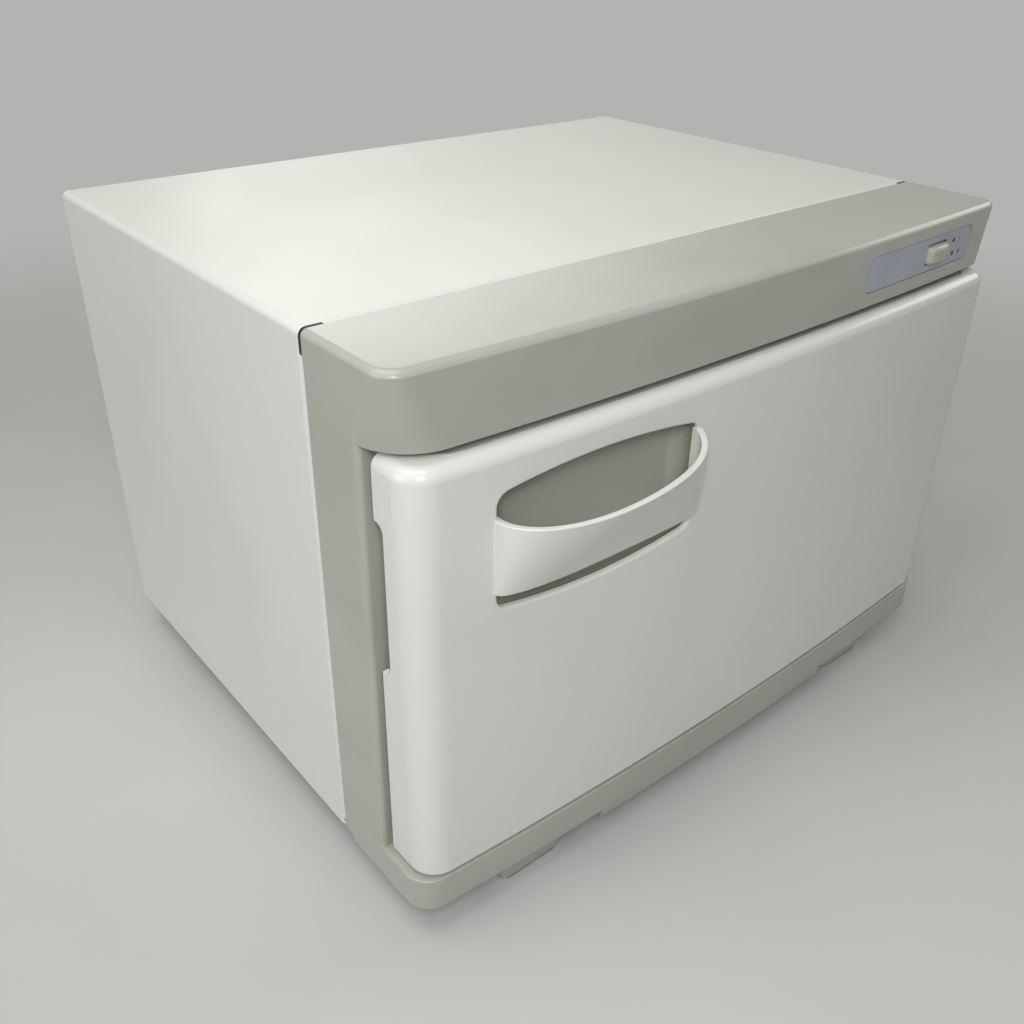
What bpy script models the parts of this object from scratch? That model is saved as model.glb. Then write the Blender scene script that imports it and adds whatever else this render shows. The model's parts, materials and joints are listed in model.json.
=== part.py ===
# Front-opening towel warmer, in metres, +Z up.
# X runs to the right and Y to the back, and the feet stand on z = 0.
# Places are measured from the seam between the casing and the front frame, where y = 0;
# the cabinet's empty then sets the whole object over the middle of its own footprint.

import math

import bmesh
import bpy
from mathutils import Matrix, Vector

# Fits
SEAT = 0.0003            # gap between a piece and what it is seated on
RUN = 0.0006             # gap round a piece that turns or slides

# Casing: a bent sheet-steel wrap
CASE_WIDTH = 0.350
CASE_DEPTH = 0.219
CASE_TOP = 0.2455
CASE_BOTTOM = 0.0188
SHEET = 0.0010
CASE_BEND = 0.0040
BOTTOM_FLANGE = 0.012
REAR_FLANGE = 0.010
NOTCH_LEG = 0.009        # relief cut at each front corner of the wrap
NOTCH_WIDTH = 0.0015
FLANGE_SKIN = 0.0004     # the rear flange is turned in this far inside the wrap's outer face
FLANGE_SINK = 0.0001     # and stays this far ahead of its rear edge
PANEL_RETURN = 0.008
PAN_HEIGHT = 0.003

# Front frame: one grey moulding
FRAME_WALL = 0.0030
BOW_RADIUS = 2.744       # plan radius of the header, door and rail fronts
CORNER_RADIUS = 0.0120
HEADER_REACH = 0.0530
HEADER_HEIGHT = 0.0298
HEADER_FILLET = 0.0030
HEADER_TOP_CORNER = 0.0100   # the header's corners widen from its top to its lower edge
HEADER_LOW_CORNER = 0.0150
STILE_REACH = 0.0295
STILE_FILLET = 0.0025
RAIL_REACH = 0.0620
RAIL_HEIGHT = 0.0171
RAIL_BOTTOM = 0.0150
RAIL_FILLET = 0.0015
RAIL_START = 0.006       # the deep part of the rail begins this far ahead of the seam
SKIRT_DROP = 0.0028
SKIRT_SIDE = 0.095       # the skirt starts this far in from each side
SKIRT_DEPTH = 0.014
LIP_DEPTH = 0.008        # the frame's lip, which the casing slides over
LIP_WALL = 0.0020
LIP_CHAMFER = 0.0040

# Opening and tank
STILE_WIDTH = 0.0350     # borders of the frame's face round the opening
HEAD_BORDER = 0.0157
SILL_BORDER = 0.0179
APERTURE_RADIUS = 0.004
TANK_SHEET = 0.0010
TANK_MARGIN = 0.0005     # the tank stands this far outside the opening's edge
TANK_FLANGE = 0.009

# Heater, insulation and electrics
HEATER_THICKNESS = 0.0013
HEATER_MARGIN = 0.016
TOP_WOOL = 0.026
REAR_WOOL = 0.020
WOOL_SIDE_GAP = 0.0030
WIRING_GAP = 0.0033      # between the rear wool and the terminal block
THERMOSTAT_SIDE = 0.113  # fittings at the rear are set in from the right side
THERMOSTAT_RADIUS = 0.0085
THERMOSTAT_CAP_RADIUS = 0.0068
THERMOSTAT_DEPTH = 0.0080
BLADE_LENGTH = 0.0070
BLADE_WIDTH = 0.0048
BLADE_THICKNESS = 0.0008
BLADE_PITCH = 0.0080
FUSE_SIDE = 0.067
FUSE_RADIUS = 0.0022
FUSE_LENGTH = 0.016
FUSE_CLIP = 0.006
WINDOW_MARGIN = 0.006
BLOCK_SIDE = 0.065
BLOCK_WIDTH = 0.036
BLOCK_DEPTH = 0.014
BLOCK_HEIGHT = 0.016
BLOCK_GROOVE = 0.0011
GLAND_SIDE = 0.047
GLAND_Z = 0.060
GLAND_NECK = 0.0060
GLAND_HEAD = 0.0095
GLAND_PROUD = 0.0050
GLAND_BORE = 0.0035
LEAD_RADIUS = 0.0018
THIN_LEAD_RADIUS = 0.0011
LEAD_CLEAR = 0.0010      # a lead's bends keep this far off the wool

# Control plate and rocker switch
PLATE_SIDE = 0.020       # in from the right side
PLATE_WIDTH = 0.093
PLATE_HEIGHT = 0.0180
PLATE_TOP_MARGIN = 0.0063
PLATE_RADIUS = 0.0060
PLATE_THICKNESS = 0.0006
RECESS_DEPTH = 0.0012    # shallow recess in the header that holds the plate
RECESS_MARGIN = 0.0006
SWITCH_SIDE = 0.0532
ROCKER_WIDTH = 0.0160
ROCKER_HEIGHT = 0.0084
ROCKER_PROUD = 0.0034
ROCKER_PIVOT = 0.0028    # pivot, behind the header's surface
ROCKER_BACK = 0.0030
ROCKER_TAPER = 0.0004    # the rocker narrows this much towards its back, above and below
ROCKER_TILT = math.radians(9)
ROCKER_EDGE = 0.0012
TRUNNION_RADIUS = 0.0010
TRUNNION_STUB = 0.0006
COLLAR_WALL = 0.0012
SWITCH_DEPTH = 0.017
SWITCH_FLANGE = 0.0012
POCKET_SWING = 0.0010    # room above and below the rocker for its swing

# Door
DOOR_TOP_GAP = 0.0020
DOOR_LOW_GAP = 0.0014
DOOR_SIDE_GAP = 0.0030
DOOR_REACH_TOP = 0.0597
DOOR_REACH_BOTTOM = 0.0618
DOOR_BACK = 0.0330
DOOR_WALL = 0.0025
DOOR_TOP_FILLET = 0.0050
DOOR_BOTTOM_FILLET = 0.0010
GRIP_TOP = 0.0560        # finger notch in the left wall, below the cabinet's top
GRIP_BOTTOM = 0.1196
GRIP_DEPTH = 0.0050
GRIP_RADIUS = 0.0040
HINGE_TRIM = 0.0024      # the wall at the hinge stops this far short of the other's back edge
HINGE_INSET = 0.0120     # hinge axis, in from the cabinet's right side
HINGE_REACH = 0.0406
PIN_RADIUS = 0.0020
PIN_HEAD_RADIUS = 0.0028
PIN_HEAD = 0.0020
PIN_ENTRY = 0.0060
BUSH_WALL = 0.0012
BUSH_FLANGE = 0.0020
BUSH_FLANGE_THICKNESS = 0.0005
LINER_THICKNESS = 0.0025
LINER_BACK = 0.0350
LINER_RADIUS = 0.009
LINER_PANEL_RISE = 0.0030
LINER_PANEL_INSET = 0.010
PANEL_RADIUS = 0.010     # corners of the raised panel and of the seal round it
GASKET_WIDTH = 0.0070
GASKET_TAPER = 0.00175   # its lip narrows this much on each side
GASKET_MARGIN = 0.0025
DOOR_WOOL = 0.0115
DOOR_WOOL_INSET = 0.009
CATCH_HEIGHT = 0.030
CATCH_WIDTH = 0.011
STRIKE_THICKNESS = 0.0010
STRIKE_MARGIN = 0.0015

# Handle: a strap across a barrel-shaped cut-out, with a cup behind it
CUT_SIDE = 0.0350        # in from the left side
CUT_WIDTH = 0.0975
CUT_TOP = 0.0470         # ends of the cut-out's upper edge, below the cabinet's top
CUT_BOTTOM = 0.0940
CUT_ARCH = 0.0045
CUT_RADIUS = 0.0055
STRAP_TOP = 0.0570
STRAP_BOTTOM = 0.0880
STRAP_RISE_TOP = 0.0205
STRAP_RISE_BOTTOM = 0.0052
STRAP_THICKNESS = 0.0028
STRAP_SINK = 0.0015
STRAP_FOOT = 0.0016      # the strap's ends stand this far outside the cut-out
STRAP_LEAN = 0.22        # its left end stands out more than its right by this share
STRAP_FULLNESS_TOP = 2.0
STRAP_FULLNESS_BOTTOM = 4.0
CUP_BACK = 0.0450
CUP_WALL = 0.0020
CUP_MARGIN = 0.006

# Feet
FRONT_FOOT_SIDE = 0.0605
FRONT_FOOT_WIDTH = 0.034
FRONT_FOOT_DEPTH = 0.030
FRONT_FOOT_SETBACK = 0.0075
FRONT_FOOT_RADIUS = 0.003
FOOT_TAPER = 0.0012
REAR_FOOT_SIDE = 0.0350
REAR_FOOT_INSET = 0.034
REAR_FOOT_RADIUS = 0.012

# Rack and tray
TRAY_MARGIN = 0.022
TRAY_FRONT = 0.010
TRAY_BACK = 0.028
TRAY_HEIGHT = 0.0075
TRAY_WALL = 0.0010
TRAY_RADIUS = 0.008
WIRE_RADIUS = 0.0015
LEG_RADIUS = 0.00135
SHELF_MARGIN = 0.012
SHELF_FRONT = 0.0075
SHELF_BACK = 0.0145
SHELF_HEIGHT = 0.016
LONG_WIRES = 11
CROSS_WIRES = 3
WIRE_BITE = 0.0006       # welded wires sink this far into each other

# Screws
SCREW_HEAD_RADIUS = 0.0030
SCREW_CROWN_RADIUS = 0.0021
SCREW_HEAD = 0.0018
SCREW_SHANK_RADIUS = 0.0014
SCREW_SHANK = 0.0030
REAR_SCREW_SHARES = (0.25, 0.50, 0.75)   # places up the casing's height
BASE_SCREW_SHARES = (0.15, 0.85)         # and along its depth

# Fineness of round shapes
CORNER_STEPS = 6
FILLET_STEPS = 4
SMALL_FILLET_STEPS = 2
BOW_STEPS = 16
LABEL_STEPS = 6
ROUND_STEPS = 16
SMALL_STEPS = 12
WIRE_STEPS = 8
LEAD_STEPS = 5
ARCH_STEPS = 8
STRAP_ROWS = 5
STRAP_STATIONS = 22
SMOOTH_ANGLE = math.radians(35)

# Places that follow from the sizes above
HALF = CASE_WIDTH / 2
BOW = 1 / BOW_RADIUS
HEADER_BOTTOM = CASE_TOP - HEADER_HEIGHT
RAIL_TOP = RAIL_BOTTOM + RAIL_HEIGHT
FACE_BACK = FRAME_WALL - STILE_REACH
APERTURE_HALF = HALF - STILE_WIDTH
APERTURE_TOP = HEADER_BOTTOM - HEAD_BORDER
APERTURE_BOTTOM = RAIL_TOP + SILL_BORDER
PAN_BOTTOM = CASE_BOTTOM + SHEET + SEAT
PAN_FLOOR = PAN_BOTTOM + SHEET
PAN_TOP = PAN_FLOOR + PAN_HEIGHT
PANEL_OUTER = CASE_DEPTH - SHEET - SEAT
PANEL_INNER = PANEL_OUTER - SHEET
BLOCK_REAR = PANEL_OUTER - PANEL_RETURN - SEAT
BLOCK_FRONT = BLOCK_REAR - BLOCK_DEPTH
BLOCK_TOP = PAN_FLOOR + SEAT + BLOCK_HEIGHT
WOOL_REAR = BLOCK_FRONT - WIRING_GAP
TANK_FRONT = FACE_BACK + SEAT
TANK_BACK = WOOL_REAR - REAR_WOOL - SEAT
TANK_HALF = APERTURE_HALF + TANK_MARGIN
TANK_LOW = APERTURE_BOTTOM - TANK_MARGIN
TANK_HIGH = APERTURE_TOP + TANK_MARGIN
TANK_MIDDLE = (TANK_LOW + TANK_HIGH) / 2
HEATER_BOTTOM = TANK_LOW - TANK_SHEET - SEAT - HEATER_THICKNESS
HEATER_BACK = TANK_BACK - HEATER_MARGIN
WOOL_FRONT = TANK_FRONT + TANK_SHEET + SEAT
THERMOSTAT_X = HALF - THERMOSTAT_SIDE
FUSE_X = HALF - FUSE_SIDE
BLOCK_X = HALF - BLOCK_SIDE
GLAND_X = HALF - GLAND_SIDE
DOOR_HALF = HALF - DOOR_SIDE_GAP
DOOR_TOP = HEADER_BOTTOM - DOOR_TOP_GAP
DOOR_BOTTOM = RAIL_TOP + DOOR_LOW_GAP
HINGE_X = HALF - HINGE_INSET
LINER_FRONT = -LINER_BACK - LINER_THICKNESS
LINER_HALF = DOOR_HALF - DOOR_WALL - RUN
LINER_LOW = DOOR_BOTTOM + DOOR_WALL + RUN
LINER_HIGH = DOOR_TOP - DOOR_WALL - RUN
CATCH_Z = (DOOR_BOTTOM + DOOR_TOP) / 2
SWITCH_X = HALF - SWITCH_SIDE
SWITCH_Z = CASE_TOP - PLATE_TOP_MARGIN - PLATE_HEIGHT / 2
SWITCH_LEAN = math.atan(SWITCH_X * BOW)
CUT_LEFT = CUT_SIDE - HALF
CUT_RIGHT = CUT_LEFT + CUT_WIDTH
CUP_BOTTOM = CASE_TOP - CUT_BOTTOM - CUT_ARCH - CUP_MARGIN
STRAP_MID = CUT_LEFT + CUT_WIDTH / 2
STRAP_HALF = CUT_WIDTH / 2 + STRAP_FOOT
BACK_REACH = PANEL_OUTER + SEAT + GLAND_PROUD

# Finishes: colour, roughness, metallic
WHITE_PAINT = ((0.80, 0.80, 0.76), 0.38, 0.0)
WHITE_PLASTIC = ((0.82, 0.82, 0.78), 0.25, 0.0)
GREY_PLASTIC = ((0.42, 0.42, 0.36), 0.28, 0.0)
LINER_PLASTIC = ((0.70, 0.70, 0.66), 0.40, 0.0)
LABEL_FILM = ((0.50, 0.53, 0.61), 0.40, 0.0)
IVORY_PLASTIC = ((0.75, 0.74, 0.63), 0.35, 0.0)
BLACK_PLASTIC = ((0.03, 0.03, 0.03), 0.50, 0.0)
ALUMINIUM = ((0.78, 0.79, 0.80), 0.32, 1.0)
GALVANISED = ((0.60, 0.61, 0.62), 0.45, 1.0)
STEEL = ((0.66, 0.66, 0.66), 0.30, 1.0)
BRASS = ((0.72, 0.55, 0.25), 0.35, 1.0)
RUBBER = ((0.05, 0.05, 0.05), 0.80, 0.0)
SILICONE = ((0.62, 0.62, 0.60), 0.60, 0.0)
WOOL = ((0.72, 0.66, 0.42), 0.95, 0.0)
FOIL_HEATER = ((0.45, 0.22, 0.08), 0.45, 0.0)
CERAMIC = ((0.80, 0.78, 0.72), 0.50, 0.0)


def clear_scene():
    for obj in list(bpy.data.objects):
        bpy.data.objects.remove(obj, do_unlink=True)


def add_empty(name, location, parent=None):
    empty = bpy.data.objects.new(name, None)
    empty.location = location
    empty.parent = parent
    bpy.context.scene.collection.objects.link(empty)
    return empty


def add_finish(obj, finish):
    colour, roughness, metallic = finish
    material = bpy.data.materials.new(obj.name + "_finish")
    material.use_nodes = True
    shader = material.node_tree.nodes["Principled BSDF"]
    shader.inputs["Base Color"].default_value = (*colour, 1.0)
    shader.inputs["Roughness"].default_value = roughness
    shader.inputs["Metallic"].default_value = metallic
    obj.data.materials.append(material)


def add_solid(name, bm, parent, finish=None, smooth=True):
    """An object from a mesh drawn about the seam, or about the switch for what the switch carries."""
    if parent == door:
        bmesh.ops.translate(bm, verts=bm.verts, vec=-door.location)
    mesh = bpy.data.meshes.new(name)
    bm.to_mesh(mesh)
    bm.free()
    if smooth:
        mesh.shade_smooth()
        mesh.set_sharp_from_angle(angle=SMOOTH_ANGLE)
    obj = bpy.data.objects.new(name, mesh)
    obj.parent = parent
    bpy.context.scene.collection.objects.link(obj)
    if finish:
        add_finish(obj, finish)
    return obj


def shape(target, operation, bm, parent):
    """Apply a mesh to the target, keeping it as a wire guide beside the target or on another parent."""
    name = f"{target.name}_tool_{len(target.modifiers)}"
    tool = add_solid(name, bm, parent or target.parent, smooth=False)
    tool.hide_render = True
    tool.display_type = "WIRE"
    modifier = target.modifiers.new(operation.lower(), "BOOLEAN")
    modifier.operation = operation
    modifier.solver = "EXACT"
    modifier.object = tool


def join(target, bm, parent=None):
    shape(target, "UNION", bm, parent)


def cut(target, bm, parent=None):
    shape(target, "DIFFERENCE", bm, parent)


def stack(loops):
    """Closed mesh through a row of equal loops, with a cap on the first and on the last."""
    bm = bmesh.new()
    add_stack(bm, loops)
    return bm


def add_stack(bm, loops):
    rings = [[bm.verts.new(point) for point in loop] for loop in loops]
    faces = bridge(bm, zip(rings, rings[1:]))
    faces.append(bm.faces.new(rings[0]))
    faces.append(bm.faces.new(rings[-1]))
    bmesh.ops.recalc_face_normals(bm, faces=faces)


def hoop(loops):
    """Closed ring-shaped mesh: the last loop joins the first."""
    bm = bmesh.new()
    rings = [[bm.verts.new(point) for point in loop] for loop in loops]
    faces = bridge(bm, zip(rings, rings[1:] + rings[:1]))
    bmesh.ops.recalc_face_normals(bm, faces=faces)
    return bm


def bridge(bm, pairs):
    faces = []
    for lower, upper in pairs:
        for i in range(len(lower)):
            j = (i + 1) % len(lower)
            faces.append(bm.faces.new((lower[i], lower[j], upper[j], upper[i])))
    return faces


def block(low, high):
    """Box between two corners."""
    (x0, y0, z0), (x1, y1, z1) = low, high
    return column([(x0, y0), (x1, y0), (x1, y1), (x0, y1)], z0, z1)


def column(plan, z0, z1):
    """Solid between two level copies of an outline drawn in x and y."""
    return stack([level(plan, z0), level(plan, z1)])


def prism(outline, y0, y1):
    """Solid between two upright copies of an outline drawn in x and z."""
    return stack([upright(outline, y0), upright(outline, y1)])


def level(points, z):
    return [(x, y, z) for x, y in points]


def upright(points, y):
    return [(x, y, z) for x, z in points]


def circle(cx, cy, radius, steps=ROUND_STEPS):
    turn = 2 * math.pi / steps
    return [(cx + radius * math.cos(i * turn), cy + radius * math.sin(i * turn)) for i in range(steps)]


def rounded_rect(x0, y0, x1, y1, radius, edge_steps=1):
    """Rectangle with round corners; edge_steps divides its two sides along x."""
    points = []
    corners = [(x1 - radius, y0 + radius, -90), (x1 - radius, y1 - radius, 0),
               (x0 + radius, y1 - radius, 90), (x0 + radius, y0 + radius, 180)]
    for index, (cx, cy, start) in enumerate(corners):
        for i in range(CORNER_STEPS + 1):
            angle = math.radians(start + 90 * i / CORNER_STEPS)
            points.append((cx + radius * math.cos(angle), cy + radius * math.sin(angle)))
        if index in (1, 3):
            y = y1 if index == 1 else y0
            span = (x0 + radius) - (x1 - radius)
            run = [(x1 - radius + span * i / edge_steps, y) for i in range(1, edge_steps)]
            points += run if index == 1 else [(x, y) for x, _ in reversed(run)]
    return points


def bow_y(x, reach):
    return -reach + x * x * BOW / 2


def bowed_outline(half_width, reach, corner, back, bow=BOW):
    """Plan outline from the left back corner, round the bowed front, to the right back corner."""
    turn = math.atan((half_width - corner) * bow)
    centre_x = corner - half_width
    foot_x = centre_x - corner * math.sin(turn)
    centre_y = -reach + foot_x * foot_x * bow / 2 + corner * math.cos(turn)
    left = [(-half_width, back)]
    for i in range(CORNER_STEPS + 1):
        angle = math.pi + (math.pi / 2 - turn) * i / CORNER_STEPS
        left.append((centre_x + corner * math.cos(angle), centre_y + corner * math.sin(angle)))
    front = []
    for i in range(1, BOW_STEPS):
        x = foot_x - 2 * foot_x * i / BOW_STEPS
        front.append((x, -reach + x * x * bow / 2))
    return left + front + [(-x, y) for x, y in reversed(left)]


def fillet_steps(radius, steps=FILLET_STEPS):
    """Inset and rise of a quarter round, from its upright side to its flat top."""
    for i in range(steps + 1):
        angle = math.pi / 2 * i / steps
        yield radius * (1 - math.cos(angle)), radius * math.sin(angle)


def add_rod(bm, start, end, radius, steps=WIRE_STEPS):
    """Straight round bar between two points, added to a mesh."""
    start, end = Vector(start), Vector(end)
    axis = (end - start).normalized()
    side = axis.orthogonal().normalized()
    other = axis.cross(side)
    loops = []
    for point in (start, end):
        loops.append([point + radius * (math.cos(a) * side + math.sin(a) * other)
                      for a in (2 * math.pi * i / steps for i in range(steps))])
    add_stack(bm, loops)


def rods(bars, radius, steps=WIRE_STEPS):
    bm = bmesh.new()
    for start, end in bars:
        add_rod(bm, start, end, radius, steps)
    return bm


def smooth_route(points, steps):
    """Points on a smooth curve through a route's own points."""
    route = [Vector(p) for p in points]
    padded = [2 * route[0] - route[1]] + route + [2 * route[-1] - route[-2]]
    out = []
    for a, b, c, d in zip(padded, padded[1:], padded[2:], padded[3:]):
        for i in range(steps):
            t = i / steps
            out.append(0.5 * (2 * b + (c - a) * t + (2 * a - 5 * b + 4 * c - d) * t ** 2
                              + (3 * b - a - 3 * c + d) * t ** 3))
    return out + [route[-1]]


def add_lead(name, route, radius, finish):
    """Insulated lead along a route, with flat ends."""
    curve = bpy.data.curves.new(name, "CURVE")
    curve.dimensions = "3D"
    curve.bevel_depth = radius
    curve.bevel_resolution = 2
    curve.use_fill_caps = True
    points = smooth_route(route, LEAD_STEPS)
    spline = curve.splines.new("POLY")
    spline.points.add(len(points) - 1)
    for slot, point in zip(spline.points, points):
        slot.co = (*point, 1.0)
    obj = bpy.data.objects.new(name, curve)
    obj.parent = cabinet
    bpy.context.scene.collection.objects.link(obj)
    add_finish(obj, finish)


def screw_axes(axis):
    """Matrix that turns +Z to the way a screw's head points."""
    return Vector((0, 0, 1)).rotation_difference(Vector(axis)).to_matrix().to_4x4()


def add_screws(name, places, axis, parent):
    """Pan-head screws, one object each, their heads seated at the given places."""
    rings = [(SCREW_SHANK_RADIUS, -SCREW_SHANK), (SCREW_SHANK_RADIUS, SEAT), (SCREW_HEAD_RADIUS, SEAT),
             (SCREW_HEAD_RADIUS, SCREW_HEAD / 2), (SCREW_CROWN_RADIUS, SCREW_HEAD)]
    for number, place in enumerate(places, 1):
        bm = stack([level(circle(0, 0, r, SMALL_STEPS), z) for r, z in rings])
        bmesh.ops.transform(bm, matrix=Matrix.Translation(place) @ screw_axes(axis), verts=bm.verts)
        add_solid(f"{name}_{number}", bm, parent, STEEL)


def screw_holes(places, axis):
    """Clearance holes for those screws, through the sheet behind their heads."""
    span = Vector(axis) * (SCREW_SHANK + SEAT)
    bars = [(Vector(p) - span, Vector(p) + span) for p in places]
    return rods(bars, SCREW_SHANK_RADIUS + SEAT, SMALL_STEPS)


def make_casing():
    def wrap(inset):
        bend = CASE_BEND - inset
        edge, top = HALF - inset, CASE_TOP - inset
        low, end = CASE_BOTTOM + inset, HALF - BOTTOM_FLANGE
        right = [(end, low), (edge, low)]
        for i in range(CORNER_STEPS + 1):
            angle = math.pi / 2 * i / CORNER_STEPS
            right.append((edge - bend + bend * math.cos(angle), top - bend + bend * math.sin(angle)))
        return [(-x, z) for x, z in right] + right[::-1]

    case = add_solid("outer_case", prism(wrap(0) + wrap(SHEET)[::-1], 0, CASE_DEPTH), cabinet, WHITE_PAINT)

    out_x, out_z = HALF - FLANGE_SKIN, CASE_TOP - FLANGE_SKIN
    in_x, in_z = HALF - REAR_FLANGE, CASE_TOP - REAR_FLANGE
    low = CASE_BOTTOM + SHEET + PAN_HEIGHT
    right = [(out_x - CASE_BEND, out_z), (out_x, out_z - CASE_BEND), (out_x, low), (in_x, low), (in_x, in_z)]
    turn_in = right + [(-x, z) for x, z in reversed(right)]
    join(case, prism(turn_in, CASE_DEPTH - SHEET, CASE_DEPTH - FLANGE_SINK))
    for side in (-1, 1):
        x_in, x_out = sorted((side * (HALF - NOTCH_LEG), side * (HALF + SHEET)))
        cut(case, block((x_in, -NOTCH_WIDTH, CASE_TOP - NOTCH_LEG), (x_out, NOTCH_WIDTH, CASE_TOP + SHEET)))
    cut(case, screw_holes(rear_screw_places, (0, 1, 0)))
    cut(case, screw_holes(base_screw_places, (0, 0, -1)))


def make_rear_and_base():
    x, radius = HALF - SHEET - SEAT, CASE_BEND
    low, high = PAN_TOP + SEAT, CASE_TOP - SHEET - SEAT
    outer = rounded_rect(-x, low, x, high, radius)
    inner = rounded_rect(SHEET - x, low + SHEET, x - SHEET, high - SHEET, radius - SHEET)
    front = PANEL_OUTER - PANEL_RETURN
    tub = stack([upright(outer, PANEL_OUTER), upright(outer, front),
                 upright(inner, front), upright(inner, PANEL_INNER)])
    panel = add_solid("rear_panel", tub, cabinet, WHITE_PAINT)
    cut(panel, prism(circle(GLAND_X, GLAND_Z, GLAND_NECK + SEAT), front, CASE_DEPTH))
    cut(panel, screw_holes(rear_screw_places, (0, 1, 0)))
    add_screws("rear_screw", rear_screw_places, (0, 1, 0), cabinet)

    outer = rounded_rect(-x, SEAT, x, PANEL_OUTER, radius)
    inner = rounded_rect(SHEET - x, SHEET + SEAT, x - SHEET, PANEL_INNER, radius - SHEET)
    tub = stack([level(outer, PAN_BOTTOM), level(outer, PAN_TOP),
                 level(inner, PAN_TOP), level(inner, PAN_FLOOR)])
    pan = add_solid("base_plate", tub, cabinet, GALVANISED)
    cut(pan, screw_holes(base_screw_places, (0, 0, -1)))
    add_screws("base_screw", base_screw_places, (0, 0, -1), cabinet)

    profile = [(GLAND_BORE, -GLAND_PROUD), (GLAND_NECK, -GLAND_PROUD), (GLAND_NECK, SEAT),
               (GLAND_HEAD, SEAT), (GLAND_HEAD, GLAND_PROUD / 2), (GLAND_NECK, GLAND_PROUD + SEAT),
               (GLAND_BORE, GLAND_PROUD + SEAT)]
    rings = [upright(circle(GLAND_X, GLAND_Z, r), PANEL_OUTER + y) for r, y in profile]
    add_solid("cord_gland", hoop(rings), cabinet, BLACK_PLASTIC)


def make_front_frame():
    w = FRAME_WALL
    header = [level(bowed_outline(HALF, HEADER_REACH, HEADER_LOW_CORNER, 0), HEADER_BOTTOM)]
    for inset, rise in fillet_steps(HEADER_FILLET):
        ring = bowed_outline(HALF - inset, HEADER_REACH - inset, HEADER_TOP_CORNER - inset, 0)
        header.append(level(ring, CASE_TOP - HEADER_FILLET + rise))
    frame = add_solid("front_frame", stack(header), cabinet, GREY_PLASTIC)

    stile = bowed_outline(HALF, STILE_REACH, STILE_FILLET, 0, bow=0)
    join(frame, column(stile, CASE_BOTTOM, CASE_TOP - HEADER_HEIGHT / 2))
    rail = []
    for inset, rise in reversed(list(fillet_steps(RAIL_FILLET, SMALL_FILLET_STEPS))):
        ring = bowed_outline(HALF - inset, RAIL_REACH - inset, CORNER_RADIUS - inset, -RAIL_START)
        rail.append(level(ring, RAIL_BOTTOM + RAIL_FILLET - rise))
    rail.append(level(bowed_outline(HALF, RAIL_REACH, CORNER_RADIUS, -RAIL_START), RAIL_TOP))
    join(frame, stack(rail))

    skirt_half = HALF - SKIRT_SIDE
    skirt_xs = [skirt_half * (2 * i / BOW_STEPS - 1) for i in range(BOW_STEPS + 1)]
    skirt = [(x, bow_y(x, RAIL_REACH - SEAT)) for x in skirt_xs]
    skirt += [(x, SKIRT_DEPTH - RAIL_REACH) for x in (skirt_xs[-1], skirt_xs[0])]
    join(frame, column(skirt, RAIL_BOTTOM - SKIRT_DROP, RAIL_BOTTOM + w / 2))

    lip_x, lip_z = HALF - SHEET - SEAT, CASE_TOP - SHEET - SEAT
    low = PAN_TOP + SEAT

    def arch(inset):
        x, z, c = lip_x - inset, lip_z - inset, LIP_CHAMFER
        return [(-x, low), (-x, z - c), (c - x, z), (x - c, z), (x, z - c), (x, low)]

    join(frame, prism(arch(0) + arch(LIP_WALL)[::-1], -LIP_DEPTH / 2, LIP_DEPTH))

    hollow = []
    for corner, z in ((HEADER_LOW_CORNER, HEADER_BOTTOM + w), (HEADER_TOP_CORNER, CASE_TOP - w)):
        hollow.append(level(bowed_outline(HALF - w, HEADER_REACH - w, corner - w, FACE_BACK + w), z))
    cut(frame, stack(hollow))
    in_x, in_z, bevel = lip_x - LIP_WALL, lip_z - LIP_WALL, LIP_CHAMFER
    cut(frame, block((-in_x, FACE_BACK, CASE_BOTTOM + w), (in_x, LIP_DEPTH / 2 + w, in_z - bevel)))
    cut(frame, block((bevel - in_x, FACE_BACK, CASE_BOTTOM + 2 * w), (in_x - bevel, LIP_DEPTH + w, in_z)))
    rail_hollow = bowed_outline(HALF - w, RAIL_REACH - w, CORNER_RADIUS - w, -RAIL_START - w)
    cut(frame, column(rail_hollow, RAIL_BOTTOM + w, RAIL_TOP - w))

    mouth = rounded_rect(-APERTURE_HALF, APERTURE_BOTTOM, APERTURE_HALF, APERTURE_TOP, APERTURE_RADIUS)
    cut(frame, prism(mouth, -RAIL_REACH, FACE_BACK + w))
    bush_hole = circle(HINGE_X, -HINGE_REACH, PIN_RADIUS + SEAT + BUSH_WALL + SEAT)
    for middle in (HEADER_BOTTOM + w / 2, RAIL_TOP - w / 2):
        cut(frame, column(bush_hole, middle - w, middle + w))
    cut(frame, label_slab(RECESS_MARGIN, -w, RECESS_DEPTH))
    hole_x, hole_z = (size + SEAT for size in switch_collar())
    cut(frame, block((-hole_x, -w, -hole_z), (hole_x, 2 * w, hole_z)), switch_seat)


def switch_collar():
    """Outer half width and half height of the switch's collar."""
    return (ROCKER_WIDTH / 2 + TRUNNION_STUB + COLLAR_WALL,
            ROCKER_HEIGHT / 2 + POCKET_SWING + COLLAR_WALL)


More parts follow.
